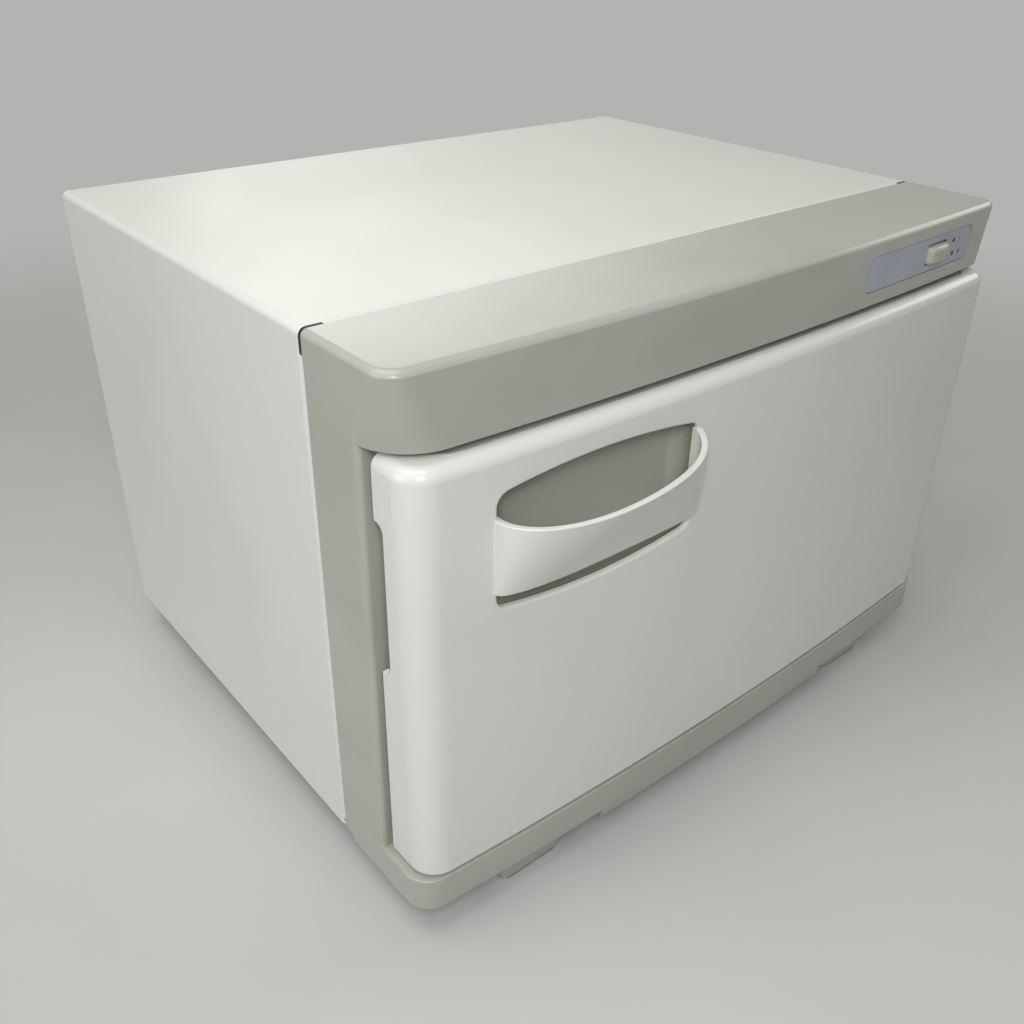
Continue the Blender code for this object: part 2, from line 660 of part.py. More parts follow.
def label_slab(grow, outside, inside):
    """Bowed slab with round corners, between two depths behind the header's surface."""
    left, width = HALF - PLATE_SIDE - PLATE_WIDTH - grow, PLATE_WIDTH + 2 * grow
    radius, half_height = PLATE_RADIUS + grow, PLATE_HEIGHT / 2 + grow
    turns = [math.pi / 2 * i / CORNER_STEPS for i in range(CORNER_STEPS + 1)]
    ends = [(radius * (1 - math.cos(turn)), radius * (1 - math.sin(turn))) for turn in turns]
    straight = (width - 2 * radius) / LABEL_STEPS
    runs = ends + [(radius + straight * i, 0) for i in range(1, LABEL_STEPS)]
    runs += [(width - run, inset) for run, inset in reversed(ends)]
    columns = []
    for run, inset in runs:
        x, half = left + run, half_height - inset
        front, back = bow_y(x, HEADER_REACH - outside), bow_y(x, HEADER_REACH - inside)
        columns.append([(x, front, SWITCH_Z - half), (x, front, SWITCH_Z + half),
                        (x, back, SWITCH_Z + half), (x, back, SWITCH_Z - half)])
    return stack(columns)


def make_controls():
    plate_back = RECESS_DEPTH - SEAT
    plate = label_slab(0, plate_back - PLATE_THICKNESS, plate_back)
    label = add_solid("control_plate", plate, cabinet, LABEL_FILM)
    hole_x = ROCKER_WIDTH / 2 + RUN
    hole_z = ROCKER_HEIGHT / 2 + POCKET_SWING + SEAT
    cut(label, block((-hole_x, -2 * FRAME_WALL, -hole_z), (hole_x, FRAME_WALL, hole_z)), switch_seat)

    collar_x, collar_z = switch_collar()
    flange_x, flange_z = collar_x + SWITCH_FLANGE, collar_z + SWITCH_FLANGE
    back = FRAME_WALL + SEAT
    can = block((-flange_x, back, -flange_z), (flange_x, back + SWITCH_DEPTH, flange_z))
    body = add_solid("switch_body", can, switch_seat, BLACK_PLASTIC, smooth=False)
    join(body, block((-collar_x, RECESS_DEPTH, -collar_z), (collar_x, back + SWITCH_FLANGE, collar_z)))
    pocket_x = ROCKER_WIDTH / 2 + SEAT
    pocket_z = ROCKER_HEIGHT / 2 + POCKET_SWING
    floor = ROCKER_PIVOT + ROCKER_BACK + POCKET_SWING
    cut(body, block((-pocket_x, -FRAME_WALL, -pocket_z), (pocket_x, floor, pocket_z)))
    socket = ROCKER_WIDTH / 2 + TRUNNION_STUB + SEAT
    bar = [((-socket, ROCKER_PIVOT, 0), (socket, ROCKER_PIVOT, 0))]
    cut(body, rods(bar, TRUNNION_RADIUS + SEAT, SMALL_STEPS))

    x, h = ROCKER_WIDTH / 2, ROCKER_HEIGHT / 2
    crown = -ROCKER_PROUD - ROCKER_PIVOT
    proud = crown - h * math.tan(ROCKER_TILT)
    back_h = h - ROCKER_TAPER
    profile = [(proud, -h), (crown, 0), (proud, h), (ROCKER_BACK, back_h), (ROCKER_BACK, -back_h)]
    bm = stack([[(end, y, z) for y, z in profile] for end in (-x, x)])
    bmesh.ops.bevel(bm, geom=list(bm.edges), offset=ROCKER_EDGE, segments=2, affect="EDGES", profile=0.5)
    rocker = add_solid("switch_rocker", bm, switch_seat, IVORY_PLASTIC)
    rocker.location = (0, ROCKER_PIVOT, 0)
    rocker.rotation_euler = (ROCKER_TILT, 0, 0)
    stub = x + TRUNNION_STUB
    pivot = rods([((-stub, 0, 0), (stub, 0, 0))], TRUNNION_RADIUS, SMALL_STEPS)
    join(rocker, pivot, rocker)


def make_tank():
    def ring(grow):
        return rounded_rect(-TANK_HALF - grow, TANK_LOW - grow, TANK_HALF + grow, TANK_HIGH + grow,
                            APERTURE_RADIUS + grow)

    s = TANK_SHEET
    inside, outside, flange = ring(0), ring(s), ring(TANK_FLANGE)
    tub = stack([upright(outside, TANK_BACK), upright(outside, TANK_FRONT + s),
                 upright(flange, TANK_FRONT + s), upright(flange, TANK_FRONT),
                 upright(inside, TANK_FRONT), upright(inside, TANK_BACK - s)])
    add_solid("inner_tank", tub, cabinet, ALUMINIUM)
    heater_x = TANK_HALF - HEATER_MARGIN
    mat = block((-heater_x, TANK_FRONT + HEATER_MARGIN, HEATER_BOTTOM),
                (heater_x, HEATER_BACK, HEATER_BOTTOM + HEATER_THICKNESS))
    add_solid("heater_mat", mat, cabinet, FOIL_HEATER, smooth=False)


def make_insulation():
    side = HALF - SHEET - WOOL_SIDE_GAP
    tank_x = TANK_HALF + TANK_SHEET + SEAT
    low, high = TANK_LOW - TANK_SHEET, TANK_HIGH + TANK_SHEET
    slabs = {
        "insulation_top": ((-side, WOOL_FRONT, high + SEAT), (side, TANK_BACK, high + SEAT + TOP_WOOL)),
        "insulation_left": ((-side, WOOL_FRONT, low), (-tank_x, TANK_BACK, high)),
        "insulation_right": ((tank_x, WOOL_FRONT, low), (side, TANK_BACK, high)),
        "insulation_bottom": ((-side, LIP_DEPTH + SEAT, CASE_BOTTOM + SCREW_SHANK + SEAT),
                              (side, HEATER_BACK, HEATER_BOTTOM - SEAT)),
        "insulation_rear": ((-tank_x, TANK_BACK + SEAT, low), (tank_x, WOOL_REAR, high)),
    }
    made = {}
    for name, (start, end) in slabs.items():
        made[name] = add_solid(name, block(start, end), cabinet, WOOL, smooth=False)
    left = THERMOSTAT_X - THERMOSTAT_RADIUS - WINDOW_MARGIN
    right = FUSE_X + FUSE_LENGTH / 2 + 2 * WINDOW_MARGIN
    half = THERMOSTAT_RADIUS + WINDOW_MARGIN
    window = block((left, TANK_BACK - SEAT, TANK_MIDDLE - half),
                   (right, WOOL_REAR + REAR_WOOL, TANK_MIDDLE + half))
    cut(made["insulation_rear"], window)


def make_electrics():
    seat_y = TANK_BACK + SEAT
    waist, end = seat_y + THERMOSTAT_DEPTH / 2, seat_y + THERMOSTAT_DEPTH
    profile = [(THERMOSTAT_RADIUS, seat_y), (THERMOSTAT_RADIUS, waist),
               (THERMOSTAT_CAP_RADIUS, waist), (THERMOSTAT_CAP_RADIUS, end)]
    rings = [upright(circle(THERMOSTAT_X, TANK_MIDDLE, r), y) for r, y in profile]
    thermostat = add_solid("thermostat", stack(rings), cabinet, BLACK_PLASTIC)
    for side in (-1, 1):
        x = THERMOSTAT_X + side * BLADE_PITCH / 2
        join(thermostat, block((x - BLADE_THICKNESS / 2, waist, TANK_MIDDLE - BLADE_WIDTH / 2),
                               (x + BLADE_THICKNESS / 2, end + BLADE_LENGTH, TANK_MIDDLE + BLADE_WIDTH / 2)))

    fuse_y = seat_y + FUSE_RADIUS + SHEET
    reach = FUSE_LENGTH / 2
    bar = [((FUSE_X - reach, fuse_y, TANK_MIDDLE), (FUSE_X + reach, fuse_y, TANK_MIDDLE))]
    fuse = add_solid("thermal_fuse", rods(bar, FUSE_RADIUS, ROUND_STEPS), cabinet, STEEL)
    join(fuse, block((FUSE_X - FUSE_CLIP / 2, seat_y, TANK_MIDDLE - FUSE_RADIUS * 2),
                     (FUSE_X + FUSE_CLIP / 2, fuse_y, TANK_MIDDLE + FUSE_RADIUS * 2)))

    bar = block((BLOCK_X - BLOCK_WIDTH / 2, BLOCK_FRONT, PAN_FLOOR + SEAT),
                (BLOCK_X + BLOCK_WIDTH / 2, BLOCK_REAR, BLOCK_TOP))
    terminal = add_solid("terminal_block", bar, cabinet, CERAMIC, smooth=False)
    pole = BLOCK_WIDTH / 3
    for x in (BLOCK_X - pole / 2, BLOCK_X + pole / 2):
        cut(terminal, block((x - BLOCK_GROOVE / 2, BLOCK_FRONT - SEAT, BLOCK_TOP - BLOCK_HEIGHT / 3),
                            (x + BLOCK_GROOVE / 2, BLOCK_REAR + SEAT, BLOCK_TOP + SEAT)))

    block_y = (BLOCK_FRONT + BLOCK_REAR) / 2
    lead_z = TANK_HIGH + TANK_SHEET + SEAT + TOP_WOOL + SEAT + LEAD_RADIUS
    behind = WOOL_REAR + LEAD_CLEAR + LEAD_RADIUS
    switch_back = bow_y(SWITCH_X, HEADER_REACH) + FRAME_WALL + SEAT + SWITCH_DEPTH + SEAT
    add_lead("switch_lead", [
        (SWITCH_X, switch_back, SWITCH_Z),
        (SWITCH_X + LEAD_RADIUS, WOOL_FRONT / 2, (SWITCH_Z + lead_z) / 2),
        (SWITCH_X + pole / 2, LIP_DEPTH, lead_z),
        (SWITCH_X + pole, TANK_BACK / 2, lead_z),
        (SWITCH_X + pole, TANK_BACK - pole, lead_z),
        (SWITCH_X + pole, behind, lead_z - pole),
        (SWITCH_X + pole / 2, behind, TANK_MIDDLE),
        (BLOCK_X + pole, block_y, BLOCK_TOP + pole),
        (BLOCK_X + pole, block_y, BLOCK_TOP + SEAT),
    ], LEAD_RADIUS, BLACK_PLASTIC)
    heater_z = HEATER_BOTTOM + HEATER_THICKNESS - THIN_LEAD_RADIUS
    add_lead("heater_lead", [
        (BLOCK_X, HEATER_BACK + SEAT, heater_z),
        (BLOCK_X, HEATER_BACK + pole / 2, heater_z - LEAD_CLEAR),
        (BLOCK_X, TANK_BACK, heater_z - pole / 2),
        (BLOCK_X, BLOCK_FRONT - pole / 2, PAN_FLOOR + BLOCK_HEIGHT / 2),
        (BLOCK_X, BLOCK_FRONT - SEAT, PAN_FLOOR + BLOCK_HEIGHT / 2),
    ], THIN_LEAD_RADIUS, SILICONE)
    thin_behind = WOOL_REAR + LEAD_CLEAR + THIN_LEAD_RADIUS
    add_lead("thermostat_lead", [
        (FUSE_X + reach + SEAT, fuse_y, TANK_MIDDLE),
        (FUSE_X + reach + WINDOW_MARGIN / 2, fuse_y, TANK_MIDDLE),
        (FUSE_X + reach + WINDOW_MARGIN, (fuse_y + thin_behind) / 2, TANK_MIDDLE),
        (FUSE_X + reach + WINDOW_MARGIN / 2, thin_behind, TANK_MIDDLE - pole),
        (FUSE_X, thin_behind, (TANK_MIDDLE + BLOCK_TOP) / 2),
        (BLOCK_X, block_y, BLOCK_TOP + pole),
        (BLOCK_X, block_y, BLOCK_TOP + SEAT),
    ], THIN_LEAD_RADIUS, SILICONE)
    blade_x = THERMOSTAT_X + BLADE_PITCH / 2 + BLADE_THICKNESS / 2 + SEAT
    blade_y = end + BLADE_LENGTH / 2
    add_lead("fuse_lead", [
        (blade_x, blade_y, TANK_MIDDLE),
        (blade_x + WINDOW_MARGIN, blade_y, TANK_MIDDLE),
        ((blade_x + FUSE_X - reach) / 2, (blade_y + fuse_y) / 2, TANK_MIDDLE),
        (FUSE_X - reach - WINDOW_MARGIN / 2, fuse_y, TANK_MIDDLE),
        (FUSE_X - reach - SEAT, fuse_y, TANK_MIDDLE),
    ], THIN_LEAD_RADIUS, SILICONE)


def make_feet():
    front = FRONT_FOOT_SETBACK - RAIL_REACH
    back = front + FRONT_FOOT_DEPTH
    half = FRONT_FOOT_WIDTH / 2
    sides = [(1.5 * FOOT_TAPER, 0), (FOOT_TAPER, FOOT_TAPER / 2), (0, RAIL_BOTTOM - SEAT)]
    foot_x = HALF - FRONT_FOOT_SIDE
    for name, x in (("front_foot_left", -foot_x), ("front_foot_right", foot_x)):
        loops = []
        for inset, z in sides:
            ring = rounded_rect(x - half + inset, front + inset, x + half - inset, back - inset,
                                FRONT_FOOT_RADIUS)
            loops.append(level(ring, z))
        add_solid(name, stack(loops), cabinet, GREY_PLASTIC)

    y, radius = CASE_DEPTH - REAR_FOOT_INSET, REAR_FOOT_RADIUS
    profile = [(radius - 2 * FOOT_TAPER, 0), (radius - FOOT_TAPER, FOOT_TAPER), (radius, PAN_BOTTOM - SEAT)]
    foot_x = HALF - REAR_FOOT_SIDE
    for name, x in (("rear_foot_left", -foot_x), ("rear_foot_right", foot_x)):
        loops = [level(circle(x, y, r, 2 * SMALL_STEPS), z) for r, z in profile]
        add_solid(name, stack(loops), cabinet, RUBBER)


def door_reach(z):
    share = (z - DOOR_BOTTOM) / (DOOR_TOP - DOOR_BOTTOM)
    return DOOR_REACH_BOTTOM + share * (DOOR_REACH_TOP - DOOR_REACH_BOTTOM)


def cut_out(grow):
    """Barrel-shaped outline of the handle's cut-out, grown by a margin."""
    half = CUT_WIDTH / 2
    low, high = CASE_TOP - CUT_BOTTOM, CASE_TOP - CUT_TOP
    points = rounded_rect(CUT_LEFT - grow, low - grow, CUT_RIGHT + grow, high + grow,
                          CUT_RADIUS + grow, ARCH_STEPS)
    centre = (low + high) / 2
    arched = []
    for x, z in points:
        lift = max(0.0, 1 - ((x - STRAP_MID) / half) ** 2) * CUT_ARCH
        arched.append((x, z + math.copysign(lift, z - centre)))
    return arched


def strap_loops():
    """The handle's strap: an arch whose upper edge stands out further than its lower edge."""
    low, high = CASE_TOP - STRAP_BOTTOM, CASE_TOP - STRAP_TOP

    def side(angle, shrink, sink):
        points = []
        for i in range(STRAP_ROWS):
            share = i / (STRAP_ROWS - 1)
            z = low + share * (high - low)
            power = 2 / (STRAP_FULLNESS_BOTTOM + share * (STRAP_FULLNESS_TOP - STRAP_FULLNESS_BOTTOM))
            across = math.copysign(abs(math.cos(angle)) ** power, math.cos(angle))
            rise = STRAP_RISE_BOTTOM + share * (STRAP_RISE_TOP - STRAP_RISE_BOTTOM)
            rise = rise * (1 + STRAP_LEAN * across) - shrink
            x = STRAP_MID - (STRAP_HALF - shrink) * across
            y = bow_y(x, door_reach(z)) - rise * abs(math.sin(angle)) ** power + sink
            points.append((x, y, z))
        return points

    loops = []
    for i in range(-1, STRAP_STATIONS + 2):
        angle = math.pi * min(max(i, 0), STRAP_STATIONS) / STRAP_STATIONS
        sink = STRAP_SINK if i in (-1, STRAP_STATIONS + 1) else 0
        loops.append(side(angle, 0, sink) + side(angle, STRAP_THICKNESS, sink)[::-1])
    return loops


def make_door():
    w = DOOR_WALL
    levels = []
    for inset, rise in reversed(list(fillet_steps(DOOR_BOTTOM_FILLET, SMALL_FILLET_STEPS))):
        levels.append((inset, DOOR_BOTTOM + DOOR_BOTTOM_FILLET - rise))
    for inset, rise in fillet_steps(DOOR_TOP_FILLET):
        levels.append((inset, DOOR_TOP - DOOR_TOP_FILLET + rise))
    loops = []
    for inset, z in levels:
        ring = bowed_outline(DOOR_HALF - inset, door_reach(z) - inset, CORNER_RADIUS - inset, -DOOR_BACK)
        loops.append(level(ring, z))
    shell = add_solid("door_shell", stack(loops), door, WHITE_PLASTIC)
    hollow = []
    for z in (DOOR_BOTTOM + w, DOOR_TOP - w):
        hollow.append(level(bowed_outline(DOOR_HALF - w, door_reach(z) - w, CORNER_RADIUS - w, 0), z))
    cut(shell, stack(hollow))
    cut(shell, prism(cut_out(0), -2 * DOOR_REACH_BOTTOM, -CUP_BACK))
    join(shell, stack(strap_loops()))

    notch = rounded_rect(-DOOR_BACK - GRIP_DEPTH, CASE_TOP - GRIP_BOTTOM, DOOR_BACK, CASE_TOP - GRIP_TOP,
                         GRIP_RADIUS)
    cut(shell, stack([[(x, y, z) for y, z in notch] for x in (-HALF, w - DOOR_HALF + SEAT)]))
    cut(shell, block((HINGE_X, -DOOR_BACK - HINGE_TRIM, DOOR_BOTTOM - w), (HALF, 0, DOOR_TOP + w)))
    pin_hole = circle(HINGE_X, -HINGE_REACH, PIN_RADIUS + SEAT)
    for z in (DOOR_BOTTOM, DOOR_TOP):
        cut(shell, column(pin_hole, z - 2 * w, z + 2 * w))


def make_handle_cup():
    x0, x1 = CUT_LEFT - CUP_MARGIN, CUT_RIGHT + CUP_MARGIN
    loops = []
    for z in (CUP_BOTTOM, CASE_TOP - CUT_TOP + CUT_ARCH + CUP_MARGIN):
        xs = [x0 + (x1 - x0) * i / ARCH_STEPS for i in range(ARCH_STEPS + 1)]
        front = [(x, bow_y(x, door_reach(z) - DOOR_WALL - SEAT)) for x in xs]
        loops.append(level(front + [(x1, -CUP_BACK), (x0, -CUP_BACK)], z))
    cup = add_solid("handle_pocket", stack(loops), door, GREY_PLASTIC)
    cut(cup, prism(cut_out(SEAT), -2 * DOOR_REACH_BOTTOM, -CUP_BACK - CUP_WALL))


def make_door_lining():
    half, inset, rise = APERTURE_HALF, LINER_PANEL_INSET, LINER_PANEL_RISE
    plate = rounded_rect(-LINER_HALF, LINER_LOW, LINER_HALF, LINER_HIGH, LINER_RADIUS)

    def panel(shrink, radius):
        return rounded_rect(shrink - half, APERTURE_BOTTOM + shrink,
                            half - shrink, APERTURE_TOP - shrink, radius)

    tub = stack([upright(plate, LINER_FRONT), upright(plate, -LINER_BACK),
                 upright(panel(inset, PANEL_RADIUS), -LINER_BACK),
                 upright(panel(inset + rise, PANEL_RADIUS - rise), rise - LINER_BACK)])
    liner = add_solid("door_liner", tub, door, LINER_PLASTIC)
    cut(liner, screw_holes(liner_screw_places, (0, 1, 0)))
    add_screws("liner_screw", liner_screw_places, (0, 1, 0), door)

    front, back = SEAT - LINER_BACK, -STILE_REACH - SEAT
    lip = [(0, front), (GASKET_WIDTH, front), (GASKET_WIDTH - GASKET_TAPER, back), (GASKET_TAPER, back)]
    loops = [upright(panel(-GASKET_MARGIN - grow, PANEL_RADIUS + grow), y) for grow, y in lip]
    add_solid("door_gasket", hoop(loops), door, SILICONE)

    wool_back = LINER_FRONT - SEAT
    slab = block((SCREW_HEAD_RADIUS - liner_screw_x, wool_back - DOOR_WOOL, LINER_LOW + DOOR_WOOL_INSET),
                 (HINGE_X - PIN_HEAD_RADIUS - DOOR_WOOL_INSET, wool_back, LINER_HIGH - DOOR_WOOL_INSET))
    wool = add_solid("door_insulation", slab, door, WOOL, smooth=False)
    cup_side = CUT_RIGHT + CUP_MARGIN + RUN
    cut(wool, block((-HALF, -DOOR_REACH_BOTTOM, CUP_BOTTOM - RUN), (cup_side, 0, CASE_TOP)))


def make_catch():
    middle = -(APERTURE_HALF + GASKET_MARGIN + GASKET_WIDTH + LINER_HALF) / 2
    front = SEAT - LINER_BACK
    back = front + STRIKE_THICKNESS
    half, tall = CATCH_WIDTH / 2 + STRIKE_MARGIN, CATCH_HEIGHT / 2 + STRIKE_MARGIN
    strike = block((middle - half, front, CATCH_Z - tall), (middle + half, back, CATCH_Z + tall))
    add_solid("strike_plate", strike, door, STEEL, smooth=False)
    magnet = block((middle - CATCH_WIDTH / 2, back + SEAT, CATCH_Z - CATCH_HEIGHT / 2),
                   (middle + CATCH_WIDTH / 2, -STILE_REACH - SEAT, CATCH_Z + CATCH_HEIGHT / 2))
    add_solid("catch_magnet", magnet, cabinet, BLACK_PLASTIC, smooth=False)


def make_hinge():
    def rings(profile):
        return [level(circle(HINGE_X, -HINGE_REACH, r), z) for r, z in profile]

    bore, sleeve = PIN_RADIUS + SEAT, PIN_RADIUS + SEAT + BUSH_WALL
    collar = sleeve + BUSH_FLANGE
    ends = (("upper", HEADER_BOTTOM, 1, DOOR_TOP), ("lower", RAIL_TOP, -1, DOOR_BOTTOM))
    for name, wall, way, door_face in ends:
        seat, tip = wall - way * SEAT, wall + way * PIN_ENTRY
        flange = seat - way * BUSH_FLANGE_THICKNESS
        bush = [(bore, flange), (collar, flange), (collar, seat), (sleeve, seat), (sleeve, tip), (bore, tip)]
        add_solid(name + "_hinge_bush", hoop(rings(bush)), cabinet, BRASS)
        head = door_face - way * (DOOR_WALL + SEAT)
        pin = [(PIN_HEAD_RADIUS, head - way * PIN_HEAD), (PIN_HEAD_RADIUS, head), (PIN_RADIUS, head),
               (PIN_RADIUS, tip)]
        add_solid(name + "_hinge_pin", stack(rings(pin)), door, STEEL)


def make_tray():
    x, t = TANK_HALF - TRAY_MARGIN, TRAY_WALL
    front, back = TANK_FRONT + TRAY_FRONT, TANK_BACK - TRAY_BACK
    low = TANK_LOW + SEAT
    loops = []
    for inset, z in ((t, low), (0, low + TRAY_HEIGHT), (t, low + TRAY_HEIGHT), (2 * t, low + t)):
        ring = rounded_rect(inset - x, front + inset, x - inset, back - inset, TRAY_RADIUS - inset)
        loops.append(level(ring, z))
    add_solid("drip_tray", stack(loops), tray, ALUMINIUM)


def make_shelf():
    r, x = WIRE_RADIUS, TANK_HALF - SHELF_MARGIN
    front, back = TANK_FRONT + SHELF_FRONT, TANK_BACK - SHELF_BACK
    floor = TANK_LOW + SEAT
    cross_z = floor + SHELF_HEIGHT
    long_z = cross_z + 2 * r - WIRE_BITE
    places = [x * (2 * i / (LONG_WIRES - 1) - 1) for i in range(LONG_WIRES)]
    runs = [((place, front, long_z), (place, back, long_z)) for place in places]
    wires = add_solid("wire_shelf", rods(runs, r), shelf, STEEL)
    inset = 2 * r
    first, last = front + inset, back - inset
    rows = [first + (last - first) * i / (CROSS_WIRES - 1) for i in range(CROSS_WIRES)]
    join(wires, rods([((-x - inset, y, cross_z), (x + inset, y, cross_z)) for y in rows], r))
    corners = [(side * (x - inset), y) for side in (-1, 1) for y in (first, last)]
    leg_top = cross_z - r - SEAT
    for number, corner in enumerate(corners, 1):
        leg = rods([((*corner, floor), (*corner, leg_top))], LEG_RADIUS, SMALL_STEPS)
        add_solid(f"shelf_leg_{number}", leg, shelf, STEEL)


clear_scene()
front_reach = -min(y for loop in strap_loops() for _, y, _ in loop)
seam_y = (front_reach - BACK_REACH) / 2
cabinet = add_empty("cabinet", (0, seam_y, 0))
door = add_empty("door", (HINGE_X, -HINGE_REACH, 0), cabinet)
switch_seat = add_empty("switch_seat", (SWITCH_X, bow_y(SWITCH_X, HEADER_REACH), SWITCH_Z), cabinet)
switch_seat.rotation_euler = (0, 0, SWITCH_LEAN)
shelf = add_empty("shelf", (0, 0, 0), cabinet)
tray = add_empty("tray", (0, 0, 0), cabinet)

flange_x = HALF - REAR_FLANGE / 2
base_x = HALF - BOTTOM_FLANGE / 2
liner_screw_x = DOOR_HALF - DOOR_WALL - LINER_RADIUS
liner_screw_heights = (DOOR_BOTTOM + 2 * LINER_RADIUS, DOOR_TOP - 2 * LINER_RADIUS)
rear_screw_places = []
base_screw_places = []
liner_screw_places = []
for side in (-1, 1):
    rear_screw_places += [(side * flange_x, CASE_DEPTH, CASE_TOP * share) for share in REAR_SCREW_SHARES]
    base_screw_places += [(side * base_x, CASE_DEPTH * share, CASE_BOTTOM) for share in BASE_SCREW_SHARES]
    liner_screw_places += [(side * liner_screw_x, -LINER_BACK, z) for z in liner_screw_heights]

make_casing()
make_rear_and_base()
make_front_frame()
make_controls()
make_tank()
make_insulation()
make_electrics()
make_feet()
make_door()
make_handle_cup()
make_door_lining()
make_catch()
make_hinge()
make_tray()
make_shelf()
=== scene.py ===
import json
import math

import bmesh
import bpy
from mathutils import Matrix, Vector


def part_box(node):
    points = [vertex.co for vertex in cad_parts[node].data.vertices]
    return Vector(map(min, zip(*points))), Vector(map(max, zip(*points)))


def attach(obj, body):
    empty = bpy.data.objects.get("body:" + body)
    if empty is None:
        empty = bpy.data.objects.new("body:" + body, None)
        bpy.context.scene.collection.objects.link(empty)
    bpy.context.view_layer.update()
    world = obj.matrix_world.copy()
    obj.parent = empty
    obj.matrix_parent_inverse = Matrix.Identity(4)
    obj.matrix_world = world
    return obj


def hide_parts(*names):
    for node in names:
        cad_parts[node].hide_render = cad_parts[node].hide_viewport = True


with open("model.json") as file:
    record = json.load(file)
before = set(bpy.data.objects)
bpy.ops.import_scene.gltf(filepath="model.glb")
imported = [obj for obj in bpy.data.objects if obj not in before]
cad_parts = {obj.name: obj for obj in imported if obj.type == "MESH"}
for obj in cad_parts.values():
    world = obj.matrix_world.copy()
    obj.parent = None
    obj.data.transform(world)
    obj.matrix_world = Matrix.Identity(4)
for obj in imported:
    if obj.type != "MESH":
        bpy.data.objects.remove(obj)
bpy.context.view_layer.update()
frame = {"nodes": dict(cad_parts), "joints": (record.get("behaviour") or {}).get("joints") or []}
scene = bpy.context.scene
scene.view_settings.view_transform = "Standard"

# Camera
# It stands in front of the cabinet's left corner and looks down on it, held a little out of level.
# The seam between the casing and the front frame is what every depth is measured from.
CAMERA_AHEAD = 0.2760
CAMERA_LEFT = 0.3185
CAMERA_HEIGHT = 0.3623
CAMERA_HEADING = math.radians(40.21)
CAMERA_DOWN = math.radians(31.04)
CAMERA_ROLL = math.radians(1.26)
CAMERA_LENS = 35.5

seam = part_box("outer_case")[0].y
forward = Vector((math.sin(CAMERA_HEADING) * math.cos(CAMERA_DOWN),
                  math.cos(CAMERA_HEADING) * math.cos(CAMERA_DOWN), -math.sin(CAMERA_DOWN)))
level_right = Vector((math.cos(CAMERA_HEADING), -math.sin(CAMERA_HEADING), 0))
level_up = level_right.cross(forward)
right = math.cos(CAMERA_ROLL) * level_right + math.sin(CAMERA_ROLL) * level_up
up = math.cos(CAMERA_ROLL) * level_up - math.sin(CAMERA_ROLL) * level_right
camera = bpy.data.objects.new("camera", bpy.data.cameras.new("camera"))
camera.data.lens = CAMERA_LENS
camera.matrix_world = (Matrix.Translation((-CAMERA_LEFT, seam - CAMERA_AHEAD, CAMERA_HEIGHT))
                       @ Matrix((right, up, -forward)).transposed().to_4x4())
scene.collection.objects.link(camera)
scene.camera = camera

# Studio floor
# A wide round sheet of pale matt paper that the cabinet stands on. It is faintly mottled, and far out
# it fades into the pale room.
FLOOR_RADIUS = 3.0
FLOOR_FADE = (0.40, 1.05)
FLOOR_SIDES = 96
FLOOR_PATCH = 0.35
FLOOR_GREYS = ((0.56, 0.56, 0.55), (0.62, 0.62, 0.61))
CLOUD_SPREAD = (0.3, 0.7)


def new_finish(name, roughness, metallic=0.0):
    """A new material with its node tree and its shader."""
    finish = bpy.data.materials.new(name)
    finish.use_nodes = True
    shader = finish.node_tree.nodes["Principled BSDF"]
    shader.inputs["Roughness"].default_value = roughness
    shader.inputs["Metallic"].default_value = metallic
    return finish, finish.node_tree, shader


def node_output(tree, kind, inputs=(), give=0, **settings):
    """Output of a new node with its settings made; an input gets a value, or links from its sockets."""
    node = tree.nodes.new(kind)
    for name, value in settings.items():
        setattr(node, name, value)
    for key, value in dict(inputs).items():
        if isinstance(value, (bpy.types.NodeSocket, list)):
            for socket in value if isinstance(value, list) else [value]:
                tree.links.new(socket, node.inputs[key])
        else:
            node.inputs[key].default_value = value
    return node.outputs[give]


def place_on_piece(tree, patch, stretch=(1, 1, 1)):
    """Places on the piece, scaled so that one unit is a patch of that many metres."""
    place = node_output(tree, "ShaderNodeTexCoord", give="Object")
    scale = tuple(share / patch for share in stretch)
    return node_output(tree, "ShaderNodeMapping", {"Vector": place, "Scale": scale})


def cloud(tree, patch, stretch=(1, 1, 1), detail=3.0):
    """Soft irregular value between 0 and 1 whose patches have that size in metres."""
    place = place_on_piece(tree, patch, stretch)
    return node_output(tree, "ShaderNodeTexNoise", {"Scale": 1.0, "Detail": detail, "Vector": place}, "Fac")


def smooth_range(tree, value, spread, low, high):
    """Value that runs smoothly from low to high while another runs over its spread."""
    inputs = {"Value": value, "From Min": spread[0], "From Max": spread[1], "To Min": low, "To Max": high}
    return node_output(tree, "ShaderNodeMapRange", inputs, "Result", interpolation_type="SMOOTHSTEP")


def tint(tree, shader, value, low, high, spread=CLOUD_SPREAD):
    """Base colour that runs from one colour to another as the value rises."""
    colour = node_output(tree, "ShaderNodeValToRGB", {"Fac": value}, "Color")
    ramp = colour.node.color_ramp
    ramp.interpolation = "EASE"
    for element, position, end_colour in zip(ramp.elements, spread, (low, high)):
        element.position = position
        element.color = (*end_colour, 1.0)
    tree.links.new(colour, shader.inputs["Base Color"])


def link_piece(name, bm, finish):
    """An object at the origin from a finished mesh."""
    mesh = bpy.data.meshes.new(name)
    bm.to_mesh(mesh)
    bm.free()
    mesh.materials.append(finish)
    piece = bpy.data.objects.new(name, mesh)
    scene.collection.objects.link(piece)
    return piece


